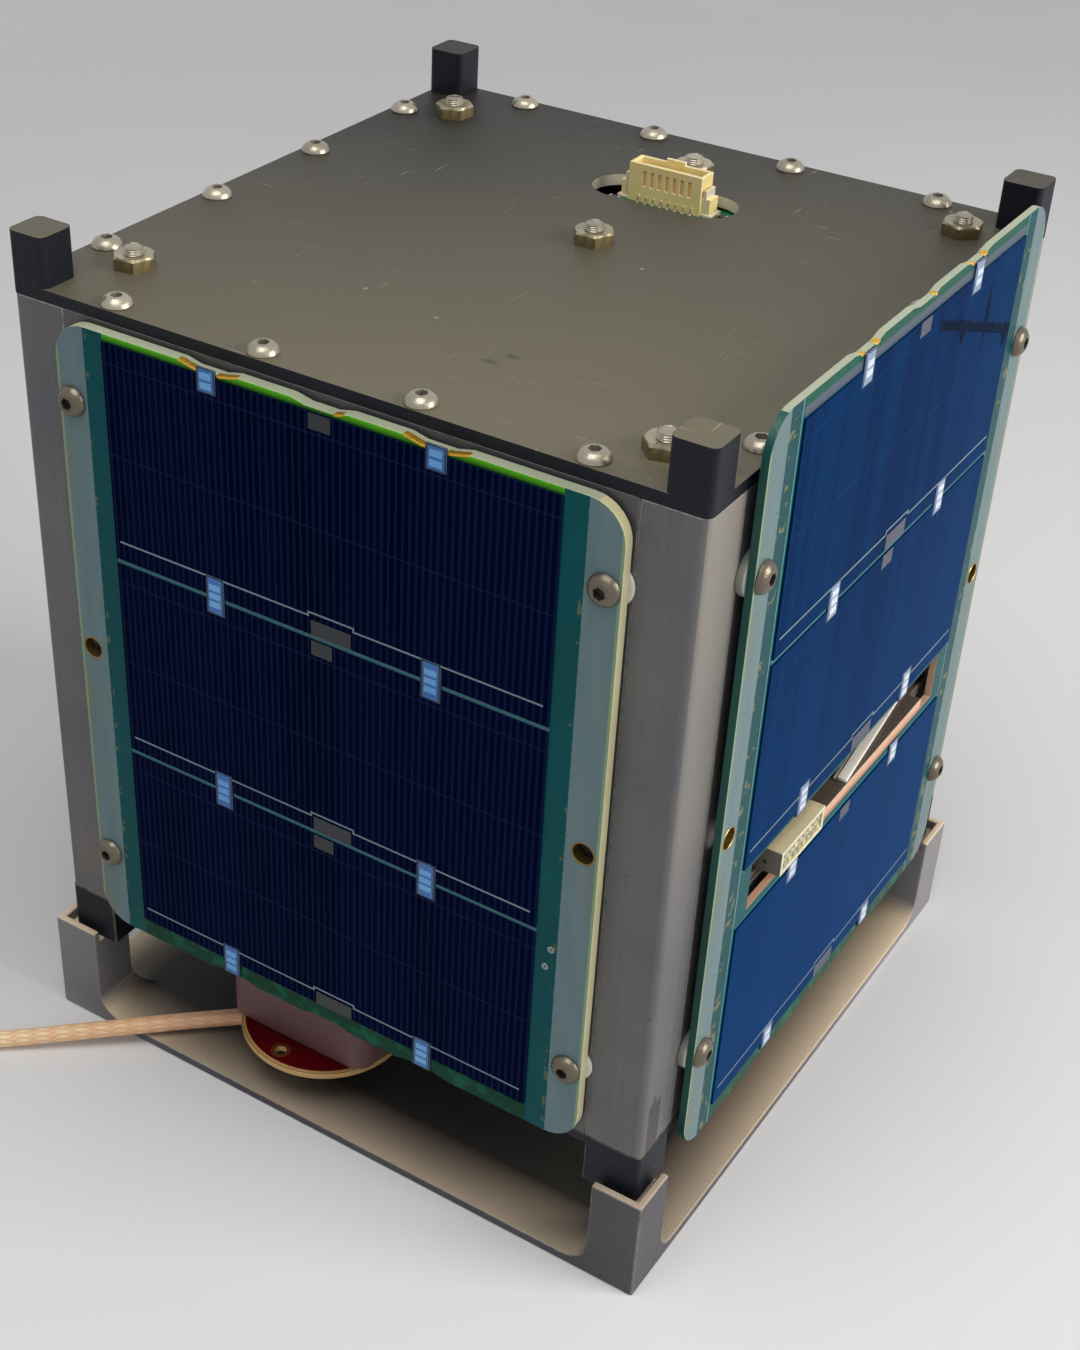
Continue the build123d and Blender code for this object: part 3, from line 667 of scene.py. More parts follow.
# Each busbar is this far above the foot of its row
busbar_rise = {"short": (0.0028, 0.0023, 0.0024), "long": (0.0026, 0.0026, 0.0026)}
pad_left, pad_right, pad_step = -0.0014, 0.0047, 0.0018
pad_reach, pad_height, pad_leg = 0.00003, 0.0022, 0.0021
jog_left, jog_right = pad_left - 0.0004, pad_right + 0.0004
busbar_runs = ((-busbar_half, jog_left, 0), (jog_left, jog_right, busbar_jog), (jog_right, busbar_half, 0))
for side, turn in sides:
    kind = kind_of[side]
    bm = bmesh.new()
    for (row_low, row_high), rise in zip(cell_rows[kind], busbar_rise[kind]):
        low = plate_top + row_low + rise - busbar_width / 2
        # The busbar steps up over the diode pad in the middle
        for left, right, lift in busbar_runs:
            on_cells(bm, left, right, low + lift, low + lift + busbar_width, busbar_reach)
        for jog in (jog_left, jog_right):
            left, right = jog - busbar_width / 2, jog + busbar_width / 2
            on_cells(bm, left, right, low, low + busbar_jog + busbar_width, busbar_reach * 1.1)
        foot, head = plate_top + row_low + 0.00005, plate_top + row_high - 0.00005
        on_cells(bm, pad_left, pad_right, foot, foot + pad_height, pad_reach, 1)
        on_cells(bm, pad_left, pad_step, head - pad_leg, head, pad_reach, 1)
    surface_piece("cell_metal_" + side, "tab_metal", bm, busbar_silver, pad_finish[kind], turn=turn)

# Cell tabs
# Thin silver ribbons that join one row of cells to the next, two in each gap. Each lies on a slightly
# wider grey contact pad and carries a few flat weld spots with dark grooves between them.
tab_finishes = {}
for kind, ribbon, spot, rim in (
    ("short", ((38, 100, 174), (58, 120, 190)), ((88, 158, 222), (122, 184, 234)), (40, 84, 132)),
    ("long", ((120, 142, 178), (150, 168, 198)), ((196, 212, 234), (224, 232, 244)), (84, 88, 128)),
):
    tab_finishes[kind] = (
        Worked(
            "tab_ribbon_" + kind, *ribbon, (0.22, 0.38), 0.0003, 0.3,
            edge=(*rim, 0.6), marks=(*rim, 0.5), Metallic=0.1,
        ),
        pad_finish[kind],
        Worked(
            "tab_spot_" + kind, *spot, (0.2, 0.34), 0.0003, 0.35,
            edge=(*rim, 0.8), marks=(*rim, 0.5), Metallic=0.1,
        ),
    )
tab_places = (-0.0167, 0.0166)
tab_half, tab_thickness, tab_ridge = 0.00115, 0.00007, 0.00005
tab_spans = {
    "short": ((-0.0051, -0.0022), (-0.0364, -0.0312), (-0.0675, -0.0622), (-0.0980, -0.0932)),
    "long": (
        (0.0022, 0.0062), (-0.0295, -0.0248), (-0.0598, -0.0554), (-0.0712, -0.0678), (-0.1018, -0.0985),
    ),
}
contact_rim, contact_overlap, contact_reach = 0.0003, 0.0002, 0.00004
contact_foot = board_plane + 0.00002 - cell_face
spot_pitch, spot_half, spot_inset, most_spots = 0.00125, 0.00048, 0.00022, 3
for side, turn in sides:
    bm = bmesh.new()
    for across in tab_places:
        for span_low, span_high in tab_spans[kind_of[side]]:
            low, high = plate_top + span_low, plate_top + span_high
            left, right = across - tab_half, across + tab_half
            on_cells(
                bm, left - contact_rim, right + contact_rim, low - contact_overlap, high + contact_overlap,
                contact_reach, 1, contact_foot,
            )
            on_cells(bm, left, right, low, high, tab_thickness)
            spots = min(most_spots, max(1, int((high - low - 0.0003) / spot_pitch)))
            for number in range(spots):
                level = (low + high) / 2 + (number - (spots - 1) / 2) * spot_pitch
                on_cells(
                    bm, left + spot_inset, right - spot_inset, level - spot_half, level + spot_half,
                    tab_thickness + tab_ridge, 2, tab_thickness / 2,
                )
    rounded_edges(bm, 0.00004, segments=1)
    surface_piece(
        "tab_ribbons_" + side, "tab_metal", bm, *tab_finishes[kind_of[side]],
        turn=turn, replaced=["cell_tabs_" + side],
    )

# Gold plating on the boards
# The bare copper of the edge notches, of the two open screw holes and of two test vias is plated with
# gold. It wraps the cut edges of the laminate.
gold_plate = Worked(
    "gold_plate", (214, 160, 40), (238, 190, 74), (0.22, 0.4), 0.0003, 0.35,
    edge=(250, 214, 120, 0.5), marks=(150, 104, 24, 0.4), Metallic=0.8,
)
hole_brass = Worked(
    "hole_brass", (104, 84, 44), (134, 112, 66), (0.26, 0.42), 0.0003, 0.35,
    edge=(214, 196, 140, 0.7), marks=(60, 46, 22, 0.5), Metallic=0.7,
)
notch_places = (-0.0166, 0.0, 0.0164)
notch_mouth, notch_floor, notch_depth, plating = 0.0042, 0.0020, 0.0005, 0.00006
hole_across, hole_height, hole_radius, ring_width = 0.0391, -0.0502, 0.0016, 0.00008
board_thickness = {"short": 0.0016, "long": 0.001}
# Distances from a notch's middle at which its plating bends; the middle notch is plated on one side
top_stations = ([0.00145, notch_floor, 0.0042, 0.0045], [0.0022, 0.0034])
plain_stations = ([0.00145, notch_floor, 0.0026], [0.0022, 0.0028])


def turned(bm, profile, place, finish=0, steps=24):
    """A turned form. Its profile holds (radius, height) or (radius, height, sides) from the foot up."""
    rings = []
    for radius, height, *sides_of in profile:
        if radius == 0:
            rings.append([bm.verts.new(place @ Vector((0, 0, height)))])
            continue
        ring = []
        for step in range(steps):
            angle = 2 * pi * step / steps
            reach = radius
            if sides_of:
                part = 2 * pi / sides_of[0]
                reach = radius * cos(part / 2) / cos(angle % part - part / 2)
            ring.append(bm.verts.new(place @ Vector((reach * cos(angle), reach * sin(angle), height))))
        rings.append(ring)
    for lower, upper in zip(rings, rings[1:]):
        for step in range(steps):
            after = (step + 1) % steps
            corners = (
                lower[step % len(lower)], lower[after % len(lower)],
                upper[after % len(upper)], upper[step % len(upper)],
            )
            bm.faces.new(list(dict.fromkeys(corners))).material_index = finish


def notch_drop(away):
    """How far the cut edge lies below the board's edge at this distance from the middle of a notch."""
    share = (notch_mouth - away) / (notch_mouth - notch_floor)
    return notch_depth * min(max(share, 0), 1)


def strip_of_plate(bm, xs, zs, front, back, way):
    """A thin strip of plating over the cut edge, with a lip turned down on the front."""
    under, lip, behind = -way * plating * 1.5, -way * 0.0003, front + plating
    rings = []
    for x, z in zip(xs, zs):
        section = ((front, 0), (back, 0), (back, under), (behind, under), (behind, lip), (front, lip))
        rings.append([bm.verts.new((x, y, z + lift)) for y, lift in section])
    made = [bm.faces.new(rings[0]), bm.faces.new(rings[-1])]
    for ring, after in zip(rings, rings[1:]):
        for corner in range(6):
            beside = (corner + 1) % 6
            made.append(bm.faces.new((ring[corner], ring[beside], after[beside], after[corner])))
    bmesh.ops.recalc_face_normals(bm, faces=made)


outward = Matrix.Rotation(radians(90), 4, "X")
for side, turn in sides:
    kind = kind_of[side]
    board_low, board_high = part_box("solar_board_" + side)
    bm = bmesh.new()
    for across in notch_places:
        for edge, way in ((board_high.z, 1), (board_low.z, -1)):
            at_ends, at_middle = top_stations if way > 0 and kind == "short" else plain_stations
            front = -board_plane - plating if way > 0 else -board_plane + 0.0001
            for hand in (-1, 1) if across else (1,):
                stations = at_ends if across else at_middle
                strip_of_plate(
                    bm, [across + hand * station for station in stations],
                    [edge - way * (notch_drop(station) - plating) for station in stations],
                    front, -board_plane + 0.0008, way,
                )
    depth = board_thickness[kind]
    head = depth + plating
    inner, outer = hole_radius - 2 * plating, hole_radius + ring_width
    hole_ring = [(inner, 0), (outer, 0), (outer, -plating), (outer, head), (inner, head), (inner, 0)]
    for way in (-1, 1):
        spot = (way * hole_across, depth - board_plane, plate_top + hole_height)
        turned(bm, hole_ring, Matrix.Translation(spot) @ outward, 3)
    if side == "front":
        for across, height in ((0.0356, -0.0673), (0.0349, -0.0704)):
            place = Matrix.Translation((across, -board_plane, plate_top + height)) @ outward
            via = [(0.00022, 0), (0.00052, 0), (0.00050, 0.00005), (0.00024, 0.00005), (0.00022, 0)]
            turned(bm, via, place, 1, 18)
            turned(bm, [(0, 0), (0.00022, 0), (0.00022, 0.00001), (0, 0.00001)], place, 2, 18)
    bmesh.ops.remove_doubles(bm, verts=bm.verts, dist=1e-7)
    rounded_edges(bm, 0.00003, segments=1)
    surface_piece(
        "gold_edges_" + side, "gold_metal", bm, gold_plate, busbar_silver, board_back, hole_brass, turn=turn
    )

# Board screws
# Stainless button head screws with a hex recess, four to a board, tightened onto the white washers. The dome
# is lighter than the recess, which is painted dark as shade. Both are painted a darker, browner steel than
# the plate screws, as shade on the upright sides.
# Painted shade: the board screws take a darker copy of the plate screws' steel
screw_worn, screw_steel = (
    Worked(
        name, *tones, (0.24, 0.4), 0.0005, 0.4,
        edge=(210, 202, 182, 0.5), marks=(72, 62, 50, 0.6), Metallic=0.7,
    )
    for name, *tones in (
        ("screw_worn", (92, 84, 72), (120, 112, 98)), ("screw_steel", (146, 138, 122), (176, 168, 150)),
    )
)
# Painted shade: the recesses are darker than the heads
recess_dark, recess_pale = (
    Worked(name, *tones, (0.3, 0.45), 0.0004, 0.3, edge=(90, 88, 86, 0.4), Metallic=0.4)
    for name, *tones in (
        ("recess_dark", (60, 56, 52), (78, 73, 67)), ("recess_pale", (128, 122, 110), (150, 144, 130)),
    )
)


def button_head(bm, place, radius, height):
    """A domed head with a hex recess: bright outside, and painted dark inside as shade."""
    recess = radius * 0.40
    dome = ((0, 0), (0.97, 0), (1, 0.12), (0.95, 0.38), (0.82, 0.66), (0.64, 0.88), (0.464, 1))
    dome = [(radius * out, height * up) for out, up in dome]
    turned(bm, [*dome, (recess, height * 0.97, 6)], place)
    turned(bm, [(recess, height * 0.97, 6), (recess * 0.96, height * 0.36, 6), (0, height * 0.30)], place, 1)


screw_across, screw_levels = 0.0391, (-0.01295, -0.0860)
head_radius, head_height = 0.00215, 0.00125
for side, turn in sides:
    bm = bmesh.new()
    for way in (-1, 1):
        for number, level in enumerate(screw_levels):
            spot = (way * screw_across, -board_plane, plate_top + level)
            twist = Matrix.Rotation(radians(17 + 40 * number + 23 * way), 4, "Z")
            button_head(bm, Matrix.Translation(spot) @ outward @ twist, head_radius, head_height)
    bmesh.ops.remove_doubles(bm, verts=bm.verts, dist=1e-7)
    surface_piece("board_screws_" + side, "rail_metal", bm, screw_worn, recess_dark, turn=turn)

# Plate screws, nuts and studs
# Sixteen small button heads hold the edges of each plate to the side sheets. Six threaded studs carry
# the inner boards: their ends stand through olive brass nuts on the top plate.
# The nut caps take a painted highlight, paler than the olive sides
nut_brass, nut_bright = (
    Worked(name, *tones, (0.28, 0.42), 0.0004, 0.3, marks=(82, 66, 40, 0.5), Metallic=0.5)
    for name, *tones in (
        ("nut_brass", (106, 93, 62), (134, 119, 82)), ("nut_bright", (150, 143, 114), (176, 168, 140)),
    )
)
plate_screw_along, plate_screw_out = (-0.0343, -0.0114, 0.0114, 0.0343), 0.0478
plate_head_radius, plate_head_height = 0.0021, 0.0013
plate_thickness = 0.0016
plate_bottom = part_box("side_frame_front")[0].z - plate_thickness
for name, level, flip in (("top", plate_top, 0), ("bottom", plate_bottom, 180)):
    bm = bmesh.new()
    for side, turn in sides:
        for number, along in enumerate(plate_screw_along):
            spot = Matrix.Rotation(radians(turn), 4, "Z") @ Vector((along, -plate_screw_out, level))
            twist = Matrix.Rotation(radians(turn + 31 * number), 4, "Z")
            place = Matrix.Translation(spot) @ Matrix.Rotation(radians(flip), 4, "X") @ twist
            button_head(bm, place, plate_head_radius, plate_head_height)
    bmesh.ops.remove_doubles(bm, verts=bm.verts, dist=1e-7)
    surface_piece("plate_screws_" + name, "rail_metal", bm, screw_steel, recess_pale)

# Each stud's x and y, and the twist of its nut in degrees
stud_spots = (
    (-0.0405, -0.0373, 8), (-0.0405, 0.0372, 22), (0.0414, 0.0394, 40),
    (0.0400, -0.0417, 15), (0.0026, 0.0060, 4), (0.0011, 0.0370, 30),
)
nut_radius, nut_height = 0.00295, 0.0018
stud_radius, stud_rise, thread_pitch = 0.0013, 0.0009, 0.0003
shoulder, nut_floor, crown = nut_height * 0.84, nut_height * 0.9, nut_height + stud_rise
nut_cap = [
    (nut_radius, shoulder, 6), (nut_radius * 0.87, nut_height), (stud_radius * 1.25, nut_height),
    (stud_radius * 1.02, nut_height * 0.92), (0, nut_height * 0.92),
]
root_radius = stud_radius * 0.88
thread = [(0, nut_floor), (root_radius, nut_floor)]
for number in range(round((crown - nut_floor) / thread_pitch)):
    level = nut_floor + thread_pitch * number
    thread += [(root_radius, level + 0.05 * thread_pitch), (stud_radius, level + 0.5 * thread_pitch)]
thread += [(stud_radius * 0.92, crown - 0.00012), (stud_radius * 0.7, crown), (0, crown)]
bm = bmesh.new()
for spot_x, spot_y, twist in stud_spots:
    place = Matrix.Translation((spot_x, spot_y, plate_top)) @ Matrix.Rotation(radians(twist), 4, "Z")
    turned(bm, [(0, 0), (nut_radius, 0, 6), (nut_radius, shoulder, 6)], place)
    turned(bm, nut_cap, place, 2)
    turned(bm, thread, place, 1)
bmesh.ops.remove_doubles(bm, verts=bm.verts, dist=1e-7)
surface_piece("stud_nuts_top", "gold_metal", bm, nut_brass, screw_steel, nut_bright)

# Top board and its pin header
# A green circuit board under the slot of the top plate. On it stands a moulded cream shroud with windows in
# its front wall. Amber contacts stand behind the windows, painted brighter than gold as light so that they
# show in the shaded windows. Tinned feet and end tabs lie on the board.
mask_green = Worked(
    "mask_green", (16, 92, 58), (30, 112, 74), (0.28, 0.42), 0.0005, 0.3,
    edge=(140, 170, 120, 0.6), marks=(150, 190, 160, 0.5),
)
header_cream = Worked(
    "header_cream", (232, 208, 134), (242, 222, 158), (0.35, 0.5), 0.0004, 0.2, edge=(255, 252, 232, 0.85),
    marks=(196, 164, 96, 0.3), Subsurface_Weight=0.12, Subsurface_Radius=(0.0008, 0.0006, 0.0003),
)
tin_bright = Worked(
    "tin_bright", (186, 184, 178), (214, 212, 206), (0.2, 0.38), 0.0003, 0.35,
    edge=(236, 235, 230, 0.5), marks=(120, 116, 108, 0.4), Metallic=0.8,
)
# Gold contacts, painted a bright amber as light that shows inside the shaded windows
contact_amber_lit = Worked(
    "contact_amber_lit", (244, 176, 100), (252, 196, 124), (0.28, 0.42), 0.0003, 0.3,
    edge=(240, 190, 112, 0.6), Metallic=0.1,
)
solder_white = Worked(
    "solder_white", (206, 206, 192), (224, 224, 212), (0.24, 0.4), 0.0003, 0.35,
    edge=(240, 240, 230, 0.5), marks=(150, 148, 136, 0.4), Metallic=0.15,
)
dressed("top_board", "top_board_green", "green_board", 0.00015, mask_green)
dressed("top_header", "top_header_shroud", "cream_plastic", 0.00007, header_cream)

board_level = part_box("top_header")[0].z
header_centre, contact_centre = 0.0017, 0.0020
header_front, header_pitch, header_ways = 0.0272, 0.0012, 8


def at_header(bm, across, half, depths, levels, finish=0):
    """A block placed by its depth from the header's front wall and its level over the board."""
    low = (across - half, header_front + depths[0], board_level + levels[0])
    high = (across + half, header_front + depths[1], board_level + levels[1])
    block(bm, low, high, finish)


bm = bmesh.new()
for way in range(header_ways):
    across = contact_centre + (way - (header_ways - 1) / 2) * header_pitch
    at_header(bm, across, 0.00016, (0.00084, 0.00116), (0.0014, 0.0046))
    # A spring contact behind each window, and a foot on the board for each way
    if way < header_ways - 1:
        at_header(bm, across + header_pitch / 2, 0.00027, (0.00018, 0.00075), (0.00242, 0.00458))
    at_header(bm, across, 0.0002, (-0.0012, 0.0003), (0, 0.00022), 1)
    at_header(bm, across, 0.0002, (-0.00025, 0.0001), (0, 0.0011), 1)
# Tinned tabs hold the two ends down: flat feet on the board and upright cheeks beside the ears
for way in (-1, 1):
    ear = header_centre + way * 0.0060
    at_header(bm, ear + way * 0.00075, 0.00085, (0.0002, 0.0032), (0, 0.0004), 2)
    at_header(bm, ear + way * 0.0003, 0.0002, (0.0004, 0.0030), (0, 0.0038), 2)
rounded_edges(bm, 0.00005, segments=1)
surface_piece(
    "top_header_contacts", "gold_metal", bm, contact_amber_lit, tin_bright, solder_white,
    replaced=["top_header_pins"],
)

# Small parts that show at the two ends of the slot
# Dark chip bodies; the same black also paints the shadow line beside the light patch on the service board
chip_and_shadow_black = Worked(
    "chip_and_shadow_black", (34, 33, 34), (48, 46, 46), (0.35, 0.55), 0.0003, 0.35, edge=(90, 88, 84, 0.5)
)


def chip(bm, x, y, level, length, width, height):
    """A chip part lying along X: a dark body between two tinned ends."""
    block(bm, (x - length / 2, y - width / 2, level), (x + length / 2, y + width / 2, level + height * 0.9))
    cap_half = width / 2 * 1.04
    for way in (-1, 1):
        near, far = sorted((x + way * length * 0.52, x + way * length * 0.32))
        block(bm, (near, y - cap_half, level), (far, y + cap_half, level + height), 1)


bm = bmesh.new()
for chip_x, chip_y in ((0.0100, 0.0256), (0.0104, 0.0288), (-0.0056, 0.0262)):
    chip(bm, chip_x, chip_y, board_level, 0.0016, 0.0008, 0.0005)
rounded_edges(bm, 0.00005, segments=1)
surface_piece("top_board_chips", "grey_metal", bm, chip_and_shadow_black, tin_bright)

# Service board and its header
# A level board inside the right side, seen through the slot of the solar board. Its header lies on it and
# looks out, with two rows of contacts. Beside it lie solder joints and a raised pale strip that paints a
# patch of light, with a painted shadow line.
service_brown = Worked(
    "service_brown", (74, 66, 58), (90, 81, 70), (0.4, 0.55), 0.0005, 0.3,
    edge=(130, 120, 104, 0.6), marks=(150, 140, 124, 0.4),
)
service_cream = Worked(
    "service_cream", (204, 196, 158), (218, 210, 174), (0.35, 0.5), 0.0004, 0.2, edge=(244, 240, 216, 0.8),
    marks=(170, 158, 120, 0.3), Subsurface_Weight=0.1, Subsurface_Radius=(0.0008, 0.0006, 0.0004),
)
end_shade_grey = Worked(
    "end_shade_grey", (116, 112, 106), (134, 130, 122), (0.4, 0.55), 0.0004, 0.3,
    edge=(170, 166, 156, 0.6), marks=(90, 86, 80, 0.4),
)
light_patch_cream = Worked(
    "light_patch_cream", (250, 246, 234), (254, 252, 244), (0.35, 0.5), 0.0004, 0.2,
    edge=(250, 246, 236, 0.5), marks=(180, 166, 140, 0.3),
)
# The lip in the slot is bare laminate, as the wall of the slot
lip_from = 0.0501
dressed(
    "service_plate", "service_board", "green_board", 0.00012, service_brown, slot_edge,
    finish_at=lambda centre, normal: int(centre.x > lip_from),
)
dressed("service_header", "service_header_shroud", "cream_plastic", 0.0001, service_cream)

service_low, service_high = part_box("service_header")
service_level, service_mouth, service_front = service_low.z, service_high.x, service_low.y
service_middle = (service_low + service_high) / 2
cap_thickness, cap_inset, contact_back = 0.00006, 0.00008, 0.0034
contact_pitch, row_rise = 0.00142, 0.00072
bm = bmesh.new()
# The end that looks to the front is covered with a thin grey sheet of painted shade over the cream, with a
# flat dark disc on it painted as the shade of a small round hole
block(
    bm,
    (service_low.x + 0.0002, service_front - cap_thickness, service_level + cap_inset),
    (service_mouth - 0.00006, service_front, service_high.z - cap_inset),
    2,
)
painted_hole_spot = (service_mouth - 0.0024, service_front - cap_thickness, service_middle.z - 0.0003)
painted_hole_disc = [(0, 0), (0.00035, 0), (0.00035, 0.00001), (0, 0.00001)]
turned(bm, painted_hole_disc, Matrix.Translation(painted_hole_spot) @ outward, 3, 18)


def at_mouth(bm, reach, y_low, y_high, level, half, finish):
    """A block inside the header's mouth that ends this far behind it."""
    low = (service_mouth - contact_back, y_low, level - half)
    block(bm, low, (service_mouth - reach, y_high, level + half), finish)


# Cream blocks stand round the contacts in two rows, with bright contact faces between them
for way in range(header_ways):
    along = service_middle.y + (way - (header_ways - 1) / 2) * contact_pitch
    for row in (-1, 1):
        level = service_middle.z + row * row_rise
        at_mouth(bm, 0.00012, along - 0.00036, along + 0.00036, level, 0.00036, 0 if (way + row) % 3 else 1)
        at_mouth(bm, 0.00035, along - 0.0006, along + 0.0006, level, 0.00058, 1)
at_mouth(bm, 0.0004, service_front + 0.0007, service_high.y - 0.0007, service_middle.z, 0.00012, 1)
rounded_edges(bm, 0.00005, segments=1)
surface_piece(
    "service_header_contacts", "gold_metal", bm, tin_bright, service_cream, end_shade_grey, recess_dark,
    replaced=["service_header_pins"],
)

# The strip is a painted patch of light that lies across the board from near its edge to deep inside, with a
# dark line beside it painted as its shadow
strip_start, strip_run = Vector((0.0510, 0.0008, service_level)), Vector((-0.0028, 0.0280))
strip_place = Matrix.Translation(strip_start) @ Matrix.Rotation(atan2(strip_run.y, strip_run.x), 4, "Z")
bm = bmesh.new()
for offset, half, height, finish in ((0, 0.00075, 0.0006, 0), (0.0011, 0.00025, 0.0004, 1)):
    block(bm, (0, offset - half, 0), (strip_run.length, offset + half, height), finish, strip_place)
rounded_edges(bm, 0.0002)
surface_piece("service_light_patch", "cream_plastic", bm, light_patch_cream, chip_and_shadow_black, crisp=True)

solder_dome = ((0, 0), (1, 0), (0.94, 0.35), (0.68, 0.72), (0.34, 0.92), (0, 1))
solder_spots = (
    (0.0484, 0.0018, 0.0006), (0.0484, 0.0036, 0.0007), (0.0486, 0.0052, 0.0006),
    (0.0489, 0.0071, 0.0006), (0.0484, -0.0050, 0.0006),
)
bm = bmesh.new()
for spot_x, spot_y, radius in solder_spots:
    dome = [(radius * out, radius * up) for out, up in solder_dome]
    turned(bm, dome, Matrix.Translation((spot_x, spot_y, service_level)), 1, 16)
for chip_x, chip_y in ((0.0462, 0.0080), (0.0474, 0.0118), (0.0470, -0.0060)):
    chip(bm, chip_x, chip_y, service_level, 0.0016, 0.0009, 0.0006)
rounded_edges(bm, 0.00005, segments=1)
surface_piece("service_board_parts", "grey_metal", bm, chip_and_shadow_black, tin_bright)

# Antenna block and board
# A pinkish grey moulded block hung from the bottom plate carries a round red circuit board. The rim
# of the board is bare laminate, and its screw hole has a bare ring round it.
block_pink = Worked(
    "block_pink", (108, 78, 80), (122, 90, 90), (0.42, 0.58), 0.0006, 0.3,
    edge=(146, 126, 120, 0.5), marks=(82, 66, 66, 0.4), Specular_IOR_Level=0.3,
)
mask_red = Worked(
    "mask_red", (82, 0, 9), (96, 2, 13), (0.24, 0.38), 0.0004, 0.3, marks=(150, 48, 50, 0.4), IOR=1.25
)
rim_laminate = Worked(
    "rim_laminate", (190, 150, 92), (212, 174, 112), (0.35, 0.5), 0.0003, 0.3,
    edge=(228, 198, 140, 0.6), marks=(150, 108, 60, 0.4),
)
bare_copper = Worked(
    "bare_copper", (96, 52, 20), (118, 68, 30), (0.3, 0.5), 0.0003, 0.3,
    edge=(150, 100, 54, 0.5), marks=(60, 30, 14, 0.5), Metallic=0.3,
)
socket_gold = Worked(
    "socket_gold", (196, 152, 66), (222, 178, 92), (0.2, 0.36), 0.0004, 0.25,
    edge=(246, 216, 140, 0.6), marks=(140, 100, 36, 0.4), Metallic=0.85,
)
antenna_x, antenna_y, antenna_radius, rim_width = -0.0100, -0.0388, 0.0128, 0.0006
hole_x, hole_y, bare_radius, bare_ring = -0.0109, -0.0489, 0.0009, 0.0015


def antenna_rim(centre, normal):
    away = (centre.xy - Vector((antenna_x, antenna_y))).length
    return int(abs(normal.z) < 0.9 or away > antenna_radius)


def flat_ring(bm, x, y, level, inner, outer, thin, finish, steps=24):
    """A thin bare ring on a face of the board."""
    section = [(inner, 0), (outer, 0), (outer, thin), (inner, thin), (inner, 0)]
    turned(bm, section, Matrix.Translation((x, y, level)), finish, steps)


dressed("antenna_block", "antenna_block_moulded", "block_plastic", 0.00025, block_pink)
dressed(
    "antenna_board", "antenna_board_red", "red_board", 0.00015, mask_red, rim_laminate, finish_at=antenna_rim
)
antenna_low, antenna_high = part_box("antenna_board")
bm = bmesh.new()
for level, thin in ((antenna_high.z, 0.00004), (antenna_low.z, -0.00004)):
    flat_ring(bm, hole_x, hole_y, level, bare_radius, bare_ring, thin, 1)
    inner, outer = antenna_radius - rim_width, antenna_radius - 0.00012
    flat_ring(bm, antenna_x, antenna_y, level, inner, outer, thin, 0, 72)
bmesh.ops.remove_doubles(bm, verts=bm.verts, dist=1e-7)
bmesh.ops.recalc_face_normals(bm, faces=bm.faces)
surface_piece("antenna_board_bare", "red_board", bm, rim_laminate, bare_copper)
dressed("feed_socket", "feed_socket_turned", "gold_metal", 0.00015, socket_gold)

# Feed cable
# A braided coaxial lead of 2.6 mm. It leaves the socket under the round board, crosses the edge of the
# cradle onto the table, and the rest of it is wound into a neat coil that ends in a gold screw plug.
cable_diameter = 0.0026
cable_route = [
    (-0.0146, -0.0356, 0.0049), (-0.0256, -0.0440, 0.0042), (-0.0384, -0.0544, 0.0031),
    (-0.0543, -0.0672, 0.0014), (-0.0696, -0.0791, 0.0013),
]
coil_centre = Vector((-0.0804, -0.0670, 0))
coil_outer_turn, coil_inner_turn = 0.0158, 0.0132
coil_floor, coil_second_layer = 0.0013, 0.00397
coil_points_a_turn = 16
# A quadratic curve runs this much inside its control points
coil_cut = (6 + 2 * cos(2 * pi / coil_points_a_turn)) / 8
coil_start_angle, tail_angle, tail_length = radians(-48.2), radians(186), 0.016
coil_turns = (coil_start_angle - tail_angle + 8 * pi) / (2 * pi)


def eased(t, start, end):
    t = min(max((t - start) / (end - start), 0), 1)
    return t * t * (3 - 2 * t)


def round_coil(radius, angle, height):
    return coil_centre + Vector((radius * cos(angle), radius * sin(angle), height))


route = [Vector(point) for point in cable_route]
steps = round(coil_turns * coil_points_a_turn)
for step in range(1, steps):
    turn = coil_turns * step / steps
    inward = eased(turn, 0.74, 0.95) - eased(turn, 2.72, 2.93)
    radius = (coil_outer_turn + (coil_inner_turn - coil_outer_turn) * inward) / coil_cut
    height = coil_floor + (coil_second_layer - coil_floor) * eased(turn, 1.72, 1.92)
    route.append(round_coil(radius, coil_start_angle - 2 * pi * turn, height))
tail_start = round_coil(coil_outer_turn, tail_angle, coil_second_layer)
tail_way = Vector((sin(tail_angle), -cos(tail_angle), 0))
route += [tail_start + tail_way * (tail_length * share) for share in (0.1, 0.4, 0.7, 1.0)]

cable_line = bpy.data.curves.new("feed_cable_line", "CURVE")
cable_line.dimensions = "3D"
cable_line.resolution_u = 12
spline = cable_line.splines.new("NURBS")
spline.points.add(len(route) - 1)
for point, place in zip(spline.points, route):
    point.co = (*place, 1)
spline.order_u = 3
spline.use_endpoint_u = True
line_object = bpy.data.objects.new("feed_cable_line", cable_line)
bpy.context.collection.objects.link(line_object)
bpy.context.view_layer.update()
line_mesh = bpy.data.meshes.new_from_object(line_object)
line_points = [vertex.co.copy() for vertex in line_mesh.vertices]
bpy.data.meshes.remove(line_mesh)
bpy.data.objects.remove(line_object)

